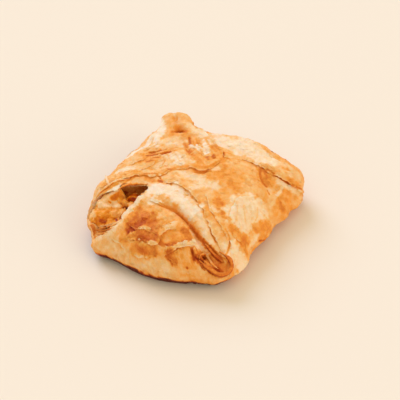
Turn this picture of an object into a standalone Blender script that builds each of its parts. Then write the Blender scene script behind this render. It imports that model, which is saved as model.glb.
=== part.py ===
"""Puff-pastry khachapuri: a square of laminated dough folded round a cheese filling, open at one corner.

Metres, +Z up. The square's sides run along X and Y, with the open corner at -X -Y. The origin is on
the flat base, at the middle of the whole shape's plan. All the named sizes are millimetres.
"""

import bpy
import bmesh
import numpy as np

MM = 0.001

# What brings the middle of the shape's plan over the origin
PLAN_SHIFT = (-0.6, 4.1, 0.0)

# The dough as it swelled in the oven, built from overlapping lobes: (centre, radii)
CORE = ((0, 0, 17), (56, 56, 23))
CORE_SQUARENESS = 3.6
LOBES = {
    "front dome": ((-5, -49, 13), (52, 28, 20)),
    "front crest": ((2, -28, 25), (37, 20, 14)),
    "centre mound": ((0, 6, 28), (44, 40, 15)),
    "back lobe": ((16, 51, 24), (33, 17, 15)),
}
# Folded edges and corners: (start, end, start radius, end radius)
ROLLS = {
    "left edge": ((-48, -34, 22), (-47, 32, 22), 17, 16),
    "back edge": ((-30, 49, 19), (42, 47, 17), 15, 15),
    "right edge": ((43, -34, 11), (45, 36, 12), 12, 14),
    "left back ear": ((-42, 47, 27), (-47, 57, 31), 12, 8),
    "ear outer lobe": ((-46, 50, 28), (-53, 55, 32), 10, 7),
    "ear inner lobe": ((-39, 47, 28), (-42, 59, 33), 10, 7),
    "right back corner": ((42, 38, 19), (53, 50, 18), 14, 11),
    "right back foot": ((44, 30, 8), (55, 41, 7), 12, 9),
    "left front corner": ((-34, -40, 18), (-49, -51, 18), 16, 10),
    "left front lip": ((-24, -54, 15), (-37, -66, 11), 14, 8),
    "right front corner": ((32, -36, 14), (46, -46, 10), 15, 9),
    "right front foot": ((38, -32, 8), (49, -38, 7), 12, 7),
}
LOBE_BLEND = 9.0

# Folds pressed into the dough, and ridges that stand up from it. Each is a route of points, with the
# share of the full size there as a fourth number, then the rise along it and its width
FOLDS = {
    "front fold": (((-16, -40, 38, 0.1), (-6, -39, 39, 0.4), (5, -39, 39, 0.8), (17, -43, 37, 1.0),
                    (28, -49, 32, 1.0), (37, -54, 27, 1.0), (45, -56, 22, 0.8)), -5.0, 3.0),
    "pale band": (((-19, -32, 40, 0.4), (-5, -30, 41, 1.0), (13, -32, 41, 1.0), (26, -39, 37, 1.0),
                   (37, -47, 31, 0.5)), 1.4, 5.0),
    "pocket rim": (((46, -45, 28, 0.5), (52, -48, 21, 1.0), (54, -52, 17, 1.0), (51, -57, 16, 1.0),
                    (45, -60, 18, 1.0), (38, -61, 23, 0.6)), 1.8, 3.2),
    "ear crease": (((-37, 40, 40, 0.4), (-29, 31, 38, 1.0), (-19, 22, 42, 0.8), (-11, 17, 43, 0.3)),
                   -1.4, 2.2),
    "left streak": (((-49, -3, 39, 0.3), (-45, 4, 40, 1.0), (-39, 13, 40, 1.0), (-34, 18, 39, 0.3)),
                    -1.2, 2.0),
    "corner ridge": (((56, 35, 29, 0.6), (56, 27, 27, 1.0), (55, 20, 26, 0.3)), 1.0, 2.4),
}
# Raised flap edges: the dough on the left of each route, or with a negative height on its right,
# stands proud by the height and sinks back over the reach
EDGES = {
    "right flap": (((-21, -20, 41, 0.3), (-11, -18, 42, 0.8), (0, -19, 43, 1.0), (13, -24, 42, 1.0),
                    (26, -33, 38, 1.0), (34, -40, 35, 1.0), (41, -44, 30, 1.0), (47, -47, 25, 0.5)),
                   1.9, 9.0),
    "right flap layer": (((13, -14, 43, 0.3), (20, -20, 42, 1.0), (28, -28, 39, 1.0), (41, -35, 33, 1.0),
                          (49, -39, 27, 1.0), (52, -45, 23, 0.5)), 1.1, 6.0),
    "left flap front": (((-62, -49, 26, 0.8), (-58, -44, 32, 1.0), (-51, -36, 37, 1.0),
                         (-44, -28, 39, 1.0), (-37, -19, 39, 1.0), (-24, -15, 41, 0.9),
                         (-17, -5, 43, 0.7), (-10, -1, 43, 1.0), (-4, 2, 44, 1.0), (3, 3, 44, 1.0),
                         (7, 9, 44, 1.0), (10, 17, 43, 0.9), (11, 23, 42, 0.3)), 2.0, 8.0),
    "left flap back": (((8, 29, 41, 0.3), (3, 34, 40, 0.9), (-5, 40, 39, 1.0), (-14, 47, 38, 1.0),
                        (-27, 55, 35, 1.0), (-33, 58, 36, 0.4)), 1.8, 8.0),
    "back flap": (((13, 30, 41, 0.1), (20, 33, 39, 0.6), (27, 36, 38, 0.7), (35, 36, 37, 0.8),
                   (44, 34, 35, 1.0), (52, 36, 32, 1.0), (60, 40, 26, 1.0), (66, 44, 18, 1.0)),
                  2.6, 8.0),
    "front flap rim": (((-43, -72, 15, 0.5), (-31, -68, 25, 1.0), (-27, -61, 30, 1.0),
                        (-28, -54, 33, 1.0), (-26, -46, 35, 1.0), (-25, -39, 37, 1.0),
                        (-23, -33, 39, 0.5)), -1.4, 7.0),
    "front flake": (((-20, -70, 25, 0.5), (-13, -69, 27, 1.0), (-4, -67, 28, 1.0), (4, -67, 28, 1.0),
                     (5, -60, 31, 1.0), (7, -54, 33, 0.8), (14, -51, 34, 0.2)), 1.2, 7.0),
    "upper flake": (((-22, -61, 32, 0.5), (-15, -63, 31, 1.0), (-11, -61, 31, 1.0), (-4, -60, 32, 1.0),
                     (3, -61, 31, 0.4)), 0.9, 5.0),
    "low flake": (((12, -70, 24, 0.4), (17, -66, 27, 1.0), (22, -60, 29, 1.0), (29, -56, 30, 0.4)),
                  1.1, 6.0),
}
# Blisters that stand out of the dough, and dents with a negative rise: (middle, rise, radius)
BLISTERS = {
    "ear dent": ((-38, 42, 41), -3.5, 4.5),
    "front pocket": ((39, -57, 24), -3.5, 4.5),
    "back corner dent": ((46, 28, 34), -1.6, 6.0),
    "brown blister": ((-14, -53, 35), 1.4, 7.0),
    "front blister": ((3, -50, 35), 1.2, 6.0),
    "low blister": ((16, -55, 32), 1.2, 6.0),
    "pale blister": ((46, -6, 34), 1.2, 10.0),
    "flap tip": ((4, 18, 44), 1.0, 9.0),
}
EDGE_SHARPNESS = 1.2

# The dough's grid before its faces are thinned, and how far its rays start and end from the middle
GRID_ACROSS = 110
GRID_UP = 36
INNER_SPREAD = 37.0
OUTER_SPREAD = 81.0
MIDDLE_HEIGHT = 15.0
OUTER_RISE = 45.0
FACES_KEPT = 0.115

# The cheese filling: a flat mass under the flaps with an arm out to the open corner
FILLING_MASS = ((2, 4, 16), (38, 38, 9))
FILLING_ARM = ((-18, -14, 13), (-49, -49, 17), 7, 9.5)
FILLING_LUMPS = (((-46, -42, 22), 5.5), ((-51, -49, 20), 5.5), ((-42, -47, 20), 5.5),
                 ((-55, -54, 16), 5.0), ((-47, -57, 16), 5.0))
FILLING_BLEND = 4.0
FILLING_GAP = 0.6
FILLING_SPINE = ((12, 14, 17), (-47, -46, 17))
FILLING_REACH = (40, 60, 30)
FILLING_ACROSS = 20
FILLING_UP = 7

# The open corner: tapered hollows above the filling that break out through the dough
MOUTH_ROLLS = (((-25, -18, 27), (-39, -38, 29), 7, 9.5), ((-39, -38, 29), (-66, -74, 26), 9.5, 10.5),
               ((-27, -29, 35), (-35, -52, 28), 5, 8), ((-35, -52, 28), (-50, -76, 20), 8, 8.5))
MOUTH_BLEND = 3.0
MOUTH_SPINE = ((-31, -23, 29), (-62, -68, 25))
MOUTH_REACH = (24, 30, 30)
MOUTH_ACROSS = 20
MOUTH_UP = 14


def ellipsoid_distance(points, centre, radii, power=2.0):
    """Rough signed distance to an ellipsoid, squared off in plan by a power above 2."""
    offset = np.abs(points - centre) / radii
    plan = (offset[:, 0] ** power + offset[:, 1] ** power) ** (2.0 / power)
    level = np.sqrt(plan + offset[:, 2] ** 2)
    return (level - 1.0) * min(radii)


def roll_distance(points, start, end, start_radius, end_radius):
    """Signed distance to a round bar that tapers from one radius to another."""
    start, end = np.array(start, float), np.array(end, float)
    axis = end - start
    along = np.clip((points - start) @ axis / (axis @ axis), 0.0, 1.0)
    nearest = start + along[:, None] * axis
    radius = start_radius + along * (end_radius - start_radius)
    return np.linalg.norm(points - nearest, axis=1) - radius


def soft_union(first, second, width):
    """The lesser of two distances, with the crease between them filled over the given width."""
    mix = np.clip(0.5 + 0.5 * (second - first) / width, 0.0, 1.0)
    return second + (first - second) * mix - width * mix * (1.0 - mix)


def dough_distance(points):
    """Signed distance to the outside of the swollen dough, before its folds are pressed in."""
    distance = ellipsoid_distance(points, *CORE, power=CORE_SQUARENESS)
    for centre, radii in LOBES.values():
        distance = soft_union(distance, ellipsoid_distance(points, centre, radii), LOBE_BLEND)
    for roll in ROLLS.values():
        distance = soft_union(distance, roll_distance(points, *roll), LOBE_BLEND)
    return distance


def filling_distance(points):
    """Signed distance to the cheese filling."""
    distance = ellipsoid_distance(points, *FILLING_MASS)
    distance = soft_union(distance, roll_distance(points, *FILLING_ARM), 1.5 * FILLING_BLEND)
    for centre, radius in FILLING_LUMPS:
        lump = np.linalg.norm(points - np.array(centre), axis=1) - radius
        distance = soft_union(distance, lump, FILLING_BLEND)
    return distance


def cavity_distance(points):
    """Signed distance to the space that the filling takes up in the dough."""
    return filling_distance(points) - FILLING_GAP


def mouth_distance(points):
    """Signed distance to the hollow that opens the front left corner."""
    distance = roll_distance(points, *MOUTH_ROLLS[0])
    for roll in MOUTH_ROLLS[1:]:
        distance = soft_union(distance, roll_distance(points, *roll), MOUTH_BLEND)
    return distance


def gradient(points, distance, reach=0.4):
    """Unit vectors pointing out of the shape that a distance function describes."""
    slopes = np.empty_like(points)
    for axis in range(3):
        shift = np.zeros(3)
        shift[axis] = reach
        slopes[:, axis] = distance(points + shift) - distance(points - shift)
    return slopes / np.maximum(np.linalg.norm(slopes, axis=1, keepdims=True), 1e-9)


def cast(inner, outer, distance):
    """The outermost points of a shape on straight rays from inner to outer points."""
    ray = outer - inner
    low = np.zeros(len(inner))
    high = np.ones(len(inner))
    found = np.zeros(len(inner), bool)
    for share in np.linspace(1.0, 0.0, 41):
        inside = ~found & (distance(inner + ray * share) < 0.0)
        low[inside] = share
        high[inside] = min(1.0, share + 0.025)
        found |= inside
    for _ in range(14):
        middle = (low + high) / 2
        inside = distance(inner + ray * middle[:, None]) < 0.0
        low = np.where(inside, middle, low)
        high = np.where(inside, high, middle)
    return inner + ray * low[:, None]


def smooth_route(points, spacing=1.5):
    """Points along a smooth curve through a route, with any fourth number carried along."""
    points = np.array(points, float)
    padded = np.vstack([2 * points[0] - points[1], points, 2 * points[-1] - points[-2]])
    pieces = []
    for before, start, end, after in zip(padded, padded[1:], padded[2:], padded[3:]):
        count = max(2, int(np.linalg.norm((end - start)[:3]) / spacing))
        t = np.linspace(0.0, 1.0, count, endpoint=False)[:, None]
        pieces.append(0.5 * (2 * start + (end - before) * t
                             + (2 * before - 5 * start + 4 * end - after) * t ** 2
                             + (3 * start - before - 3 * end + after) * t ** 3))
    pieces.append(points[-1:])
    return np.vstack(pieces)


def lay_on_dough(points):
    """Slides points onto the surface of the dough."""
    for _ in range(4):
        points = points - gradient(points, dough_distance) * dough_distance(points)[:, None]
    return points


def route_measures(points, route):
    """Each point's distance from a route on the dough, its side of it, and the route's share there."""
    curve = smooth_route(route)
    line, share = lay_on_dough(curve[:, :3]), curve[:, 3]
    nearest = np.full(len(points), np.inf)
    side = np.zeros(len(points))
    strength = np.zeros(len(points))
    outward = gradient(line, dough_distance)
    for index in range(len(line) - 1):
        start, step = line[index], line[index + 1] - line[index]
        along = np.clip((points - start) @ step / (step @ step), 0.0, 1.0)
        offset = points - start - along[:, None] * step
        away = np.linalg.norm(offset, axis=1)
        closer = away < nearest
        leftward = np.cross(outward[index], step)
        nearest[closer] = away[closer]
        side[closer] = np.sign(offset @ leftward)[closer]
        strength[closer] = (share[index] + along * (share[index + 1] - share[index]))[closer]
    return nearest, side, np.clip(strength, 0.0, 1.0)


def fade(distance, width):
    """1 on a line, falling smoothly to nothing a few widths away."""
    return np.exp(-(distance / width) ** 2)


def fold_relief(points):
    """How far each point of the dough moves out for its folds, flap edges and blisters."""
    relief = np.zeros(len(points))
    for route, rise, width in FOLDS.values():
        away, _, strength = route_measures(points, route)
        relief += rise * strength * fade(away, width)
    for route, height, reach in EDGES.values():
        away, side, strength = route_measures(points, route)
        level = 0.5 + 0.5 * np.tanh(np.sign(height) * side * away / EDGE_SHARPNESS)
        relief += abs(height) * strength * level * fade(away, reach)
    for middle, rise, radius in BLISTERS.values():
        relief += rise * fade(np.linalg.norm(points - np.array(middle), axis=1), radius)
    return relief


def cube_grid(across, up):
    """A cube from -1 to 1 with its faces cut into a grid."""
    shape = bmesh.new()
    bmesh.ops.create_cube(shape, size=2.0)
    level = [e for e in shape.edges if abs(e.verts[0].co.z - e.verts[1].co.z) < 1.0]
    bmesh.ops.subdivide_edges(shape, edges=level, cuts=across - 1, use_grid_fill=True)
    upright = [e for e in shape.edges if abs(e.verts[0].co.z - e.verts[1].co.z) > 1.0]
    bmesh.ops.subdivide_edges(shape, edges=upright, cuts=up - 1, use_grid_fill=True)
    return shape


def grid_object(name, across, up, place, collection):
    """An object whose grid of a cube is moved to new places, in millimetres, by a function."""
    shape = cube_grid(across, up)
    places = place(np.array([v.co[:] for v in shape.verts]))
    for vert, point in zip(shape.verts, (places + PLAN_SHIFT) * MM):
        vert.co = point
    bmesh.ops.triangulate(shape, faces=shape.faces)
    mesh = bpy.data.meshes.new(name)
    shape.to_mesh(mesh)
    shape.free()
    thing = bpy.data.objects.new(name, mesh)
    collection.objects.link(thing)
    return thing


def pastry_places(cube):
    """Points of a cube's grid moved out to the folded dough, flat underneath."""
    inner = cube * (INNER_SPREAD, INNER_SPREAD, 0.0) + (0, 0, MIDDLE_HEIGHT)
    outer = cube * (OUTER_SPREAD, OUTER_SPREAD, OUTER_RISE) + (0, 0, MIDDLE_HEIGHT)
    surface = cast(inner, outer, dough_distance)
    surface += gradient(surface, dough_distance) * fold_relief(surface)[:, None]
    surface[:, 2] = np.maximum(surface[:, 2], 0.0)
    return surface


def spine_places(cube, spine, reach, distance):
    """Points of a cube's grid moved out to a shape that is drawn out along a spine."""
    start, end = np.array(spine[0], float), np.array(spine[1], float)
    forward = (end - start) / np.linalg.norm(end - start)
    across = np.cross((0.0, 0.0, 1.0), forward)
    across /= np.linalg.norm(across)
    share = (cube[:, :1] + 1) / 2
    inner = start + share * (end - start)
    outer = inner + forward * cube[:, :1] * reach[0] + across * cube[:, 1:2] * reach[1]
    outer[:, 2] += cube[:, 2] * reach[2]
    return cast(inner, outer, distance)


def filling_places(cube):
    return spine_places(cube, FILLING_SPINE, FILLING_REACH, filling_distance)


def cavity_places(cube):
    return spine_places(cube, FILLING_SPINE, FILLING_REACH, cavity_distance)


def mouth_places(cube):
    return spine_places(cube, MOUTH_SPINE, MOUTH_REACH, mouth_distance)


def finish_material(thing, name, colour, roughness):
    """Gives an object a plain finish, with its colour as linear red, green and blue."""
    material = bpy.data.materials.new(name)
    material.use_nodes = True
    shader = material.node_tree.nodes["Principled BSDF"]
    shader.inputs["Base Color"].default_value = (*colour, 1.0)
    shader.inputs["Roughness"].default_value = roughness
    shader.inputs["Metallic"].default_value = 0.0
    thing.data.materials.append(material)


def collection_named(name):
    collection = bpy.data.collections.new(name)
    bpy.context.scene.collection.children.link(collection)
    return collection


def main():
    for old in list(bpy.data.objects):
        bpy.data.objects.remove(old)
    food = collection_named("khachapuri")
    cutters = collection_named("cutters")
    pastry = grid_object("pastry", GRID_ACROSS, GRID_UP, pastry_places, food)
    filling = grid_object("cheese_filling", FILLING_ACROSS, FILLING_UP, filling_places, food)
    cavity = grid_object("filling_cavity", FILLING_ACROSS, FILLING_UP, cavity_places, cutters)
    mouth = grid_object("mouth_hollow", MOUTH_ACROSS, MOUTH_UP, mouth_places, cutters)
    for cutter in (cavity, mouth):
        cutter.hide_render = True
        cutter.display_type = "WIRE"
        cut = pastry.modifiers.new(cutter.name, "BOOLEAN")
        cut.operation = "DIFFERENCE"
        cut.object = cutter
    thin = pastry.modifiers.new("fewer faces", "DECIMATE")
    thin.ratio = FACES_KEPT
    finish_material(pastry, "baked puff pastry", (0.76, 0.42, 0.14), 0.55)
    finish_material(filling, "baked cheese", (0.80, 0.30, 0.07), 0.5)


main()
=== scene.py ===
"""The looks of a puff-pastry khachapuri that is open at one corner, laid out as a Blender add-on.

Blender's own units are metres, +Z up. The sizes named here are millimetres on the pastry's plan, with
the square's middle near zero, and PLAN_SHIFT takes them to the frame's place. Points given as pixels
are places seen in the photograph's 400 x 400 frame, laid on the dough by a line from the camera.
"""

import functools
import math

import bmesh
import bpy
import numpy as np
from bpy.props import FloatProperty, FloatVectorProperty, IntProperty, PointerProperty
from mathutils import Matrix, Vector, kdtree, noise


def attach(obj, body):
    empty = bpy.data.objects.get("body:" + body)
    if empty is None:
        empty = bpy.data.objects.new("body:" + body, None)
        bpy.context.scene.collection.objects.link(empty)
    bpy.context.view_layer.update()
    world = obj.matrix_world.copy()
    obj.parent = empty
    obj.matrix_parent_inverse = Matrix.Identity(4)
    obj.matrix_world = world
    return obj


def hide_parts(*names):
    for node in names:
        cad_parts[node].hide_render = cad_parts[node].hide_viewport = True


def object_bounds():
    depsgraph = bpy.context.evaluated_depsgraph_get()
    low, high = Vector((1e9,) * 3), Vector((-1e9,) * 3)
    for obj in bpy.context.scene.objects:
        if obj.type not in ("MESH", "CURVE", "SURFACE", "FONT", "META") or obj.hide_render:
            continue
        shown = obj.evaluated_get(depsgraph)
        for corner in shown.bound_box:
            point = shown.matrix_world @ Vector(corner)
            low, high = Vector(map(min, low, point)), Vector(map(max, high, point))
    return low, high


bl_info = {
    "name": "Khachapuri",
    "version": (1, 0, 0),
    "blender": (4, 5, 0),
    "location": "3D View > Sidebar > Khachapuri",
    "description": "Makes a flaky khachapuri with its filling, crumbs and a plain studio",
    "category": "Mesh",
}

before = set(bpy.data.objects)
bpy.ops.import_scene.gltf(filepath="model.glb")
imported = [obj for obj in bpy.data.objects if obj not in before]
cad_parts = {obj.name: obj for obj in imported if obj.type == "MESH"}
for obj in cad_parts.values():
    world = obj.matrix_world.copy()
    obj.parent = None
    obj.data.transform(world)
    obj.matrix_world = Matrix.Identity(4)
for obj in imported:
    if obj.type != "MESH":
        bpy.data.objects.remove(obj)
CAD_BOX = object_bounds()

MM = 0.001
PLAN_SHIFT = np.array((-0.6, 4.1, 0.0))

# The camera: turned and raised from the front, and how many pixels its lens gives to one radian
VIEW_TURN = math.radians(29.0)
VIEW_RISE = math.radians(42.0)
VIEW_DISTANCE = 750.0
VIEW_AIM = np.array((0.0, 0.0, 20.0))
AIM_PIXEL = 196.0
FRAME_PIXELS = 400
LENS_PIXELS = 997.0
SENSOR = 36.0

# The dough as it swelled in the oven, built from overlapping lobes: (centre, radii)
CORE = ((0, 0, 17), (56, 56, 23))
CORE_SQUARENESS = 3.6
LOBES = {
    "front dome": ((-5, -49, 13), (52, 28, 20)),
    "front crest": ((2, -28, 25), (37, 20, 14)),
    "centre mound": ((0, 6, 28), (44, 40, 15)),
    "back lobe": ((16, 51, 24), (33, 17, 15)),
}
# Folded edges and corners: (start, end, start radius, end radius)
ROLLS = {
    "left edge": ((-48, -34, 22), (-47, 32, 22), 17, 16),
    "back edge": ((-30, 49, 19), (42, 47, 17), 15, 15),
    "right edge": ((43, -34, 11), (45, 36, 12), 12, 14),
    "left back ear": ((-42, 46, 27), (-48, 56, 30), 11, 6.5),
    "ear outer lobe": ((-48, 48, 27), (-55, 55, 32.5), 9, 6.2),
    "ear inner lobe": ((-40, 48, 28), (-44, 58, 34), 9, 5.5),
    "right back corner": ((42, 38, 19), (53, 50, 18), 14, 11),
    "right back foot": ((44, 30, 8), (55, 41, 7), 12, 9),
    "left front corner": ((-34, -40, 18), (-49, -51, 18), 16, 10),
    "left front lip": ((-24, -54, 15), (-37, -66, 11), 14, 8),
    "right front corner": ((32, -36, 14), (46, -46, 10), 15, 9),
    "right front foot": ((38, -32, 8), (49, -38, 7), 12, 7),
}
LOBE_BLEND = 9.0

# Folds pressed into the dough, and ridges that stand up from it. Each is a route of points, with the
# share of the full size there as a fourth number, then the rise along it and its width
FOLDS = {
    "front fold": (((-16, -40, 38, 0.1), (-6, -39, 39, 0.4), (5, -39, 39, 0.8), (17, -43, 37, 1.0),
                    (28, -49, 32, 1.0), (37, -54, 27, 1.0), (45, -56, 22, 0.8)), -4.0, 2.6),
    "pale band": (((-19, -32, 40, 0.4), (-5, -30, 41, 1.0), (13, -32, 41, 1.0), (26, -39, 37, 1.0),
                   (37, -47, 31, 0.5)), 1.4, 5.0),
    "pocket rim": (((46, -45, 28, 0.5), (52, -48, 21, 1.0), (54, -52, 17, 1.0), (51, -57, 16, 1.0),
                    (45, -60, 18, 1.0), (38, -61, 23, 0.6)), 1.8, 3.2),
    "ear crease": (((-37, 40, 40, 0.4), (-29, 31, 38, 1.0), (-19, 22, 42, 0.8), (-11, 17, 43, 0.3)),
                   -1.4, 2.2),
    "left streak": (((-49, -3, 39, 0.3), (-45, 4, 40, 1.0), (-39, 13, 40, 1.0), (-34, 18, 39, 0.3)),
                    -1.2, 2.0),
    "corner ridge": (((56, 35, 29, 0.6), (56, 27, 27, 1.0), (55, 20, 26, 0.3)), 1.0, 2.4),
}
# Raised flap edges: the dough on the left of each route, or with a negative height on its right,
# stands proud by the height and sinks back over the reach
EDGES = {
    "right flap": (((-21, -20, 41, 0.3), (-11, -18, 42, 0.8), (0, -19, 43, 1.0), (13, -24, 42, 1.0),
                    (26, -33, 38, 1.0), (34, -40, 35, 1.0), (41, -44, 30, 1.0), (47, -47, 25, 0.5)),
                   1.2, 9.0),
    "right flap layer": (((13, -14, 43, 0.3), (20, -20, 42, 1.0), (28, -28, 39, 1.0), (41, -35, 33, 1.0),
                          (49, -39, 27, 1.0), (52, -45, 23, 0.5)), 0.7, 6.0),
    "left flap front": (((-62, -49, 26, 0.3), (-58, -44, 32, 0.4), (-51, -36, 37, 0.7),
                         (-44, -28, 39, 1.0), (-37, -19, 39, 1.0), (-24, -15, 41, 0.9),
                         (-17, -5, 43, 0.7), (-10, -1, 43, 1.0), (-4, 2, 44, 1.0), (3, 3, 44, 1.0),
                         (7, 9, 44, 1.0), (10, 17, 43, 0.9), (11, 23, 42, 0.3)), 1.2, 8.0),
    "left flap back": (((8, 29, 41, 0.3), (3, 34, 40, 0.9), (-5, 40, 39, 1.0), (-14, 47, 38, 1.0),
                        (-27, 55, 35, 1.0), (-33, 58, 36, 0.4)), 1.8, 8.0),
    "back flap": (((13, 30, 41, 0.1), (20, 33, 39, 0.6), (27, 36, 38, 0.7), (35, 36, 37, 0.8),
                   (44, 34, 35, 1.0), (52, 36, 32, 1.0), (60, 40, 26, 1.0), (66, 44, 18, 1.0)),
                  1.6, 8.0),
    "front flap rim": (((-43, -72, 15, 0.5), (-31, -68, 25, 1.0), (-27, -61, 30, 1.0),
                        (-28, -54, 33, 1.0), (-26, -46, 35, 1.0), (-25, -39, 37, 1.0),
                        (-23, -33, 39, 0.5)), -1.4, 7.0),
    "front flake": (((-20, -70, 25, 0.5), (-13, -69, 27, 1.0), (-4, -67, 28, 1.0), (4, -67, 28, 1.0),
                     (5, -60, 31, 1.0), (7, -54, 33, 0.8), (14, -51, 34, 0.2)), 1.2, 7.0),
    "upper flake": (((-22, -61, 32, 0.5), (-15, -63, 31, 1.0), (-11, -61, 31, 1.0), (-4, -60, 32, 1.0),
                     (3, -61, 31, 0.4)), 0.9, 5.0),
    "low flake": (((12, -70, 24, 0.4), (17, -66, 27, 1.0), (22, -60, 29, 1.0), (29, -56, 30, 0.4)),
                  1.1, 6.0),
}
# Blisters that stand out of the dough, and dents with a negative rise: (middle, rise, radius)
BLISTERS = {
    "ear dent": ((-38, 42, 41), -3.5, 4.5),
    "front pocket": ((39, -57, 24), -3.5, 4.5),
    "back corner dent": ((46, 28, 34), -1.6, 6.0),
    "brown blister": ((-14, -53, 35), 1.4, 7.0),
    "front blister": ((3, -50, 35), 1.2, 6.0),
    "low blister": ((16, -55, 32), 1.2, 6.0),
    "pale blister": ((46, -6, 34), 1.2, 10.0),
    "flap tip": ((4, 18, 44), 1.0, 9.0),
}

# How far the grid's rays start and end from the pastry's middle
INNER_SPREAD = 37.0
OUTER_SPREAD = 81.0
MIDDLE_HEIGHT = 15.0
OUTER_RISE = 45.0

# The cheese filling: a flat mass under the flaps with an arm out to the open corner
FILLING_MASS = ((2, 4, 16), (38, 38, 9))
FILLING_ARM = ((-18, -14, 13), (-49, -49, 17), 7, 9.5)
FILLING_LUMPS = (((-46, -42, 22), 5.5), ((-51, -49, 20), 5.5), ((-42, -47, 20), 5.5),
                 ((-55, -54, 16), 5.0), ((-47, -57, 16), 5.0))
FILLING_BLEND = 4.0
FILLING_GAP = 0.1
FILLING_SPINE = ((12, 14, 17), (-47, -46, 17))
FILLING_REACH = (40, 60, 30)

# The open corner: tapered hollows above the filling that break out through the dough
MOUTH_ROLLS = (((-25, -18, 27), (-39, -38, 29), 7, 9.5), ((-39, -38, 29), (-66, -74, 26), 9.5, 10.5),
               ((-27, -29, 35), (-35, -52, 28), 5, 8), ((-35, -52, 28), (-50, -76, 20), 8, 8.5),
               ((-40, -34, 36), (-31, -31, 37), 4.2, 3.8), ((-32, -40, 36), (-28, -40, 37), 3.5, 2.8))
MOUTH_BLEND = 3.0
MOUTH_SPINE = ((-31, -23, 29), (-62, -68, 25))
MOUTH_REACH = (24, 30, 30)

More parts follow.
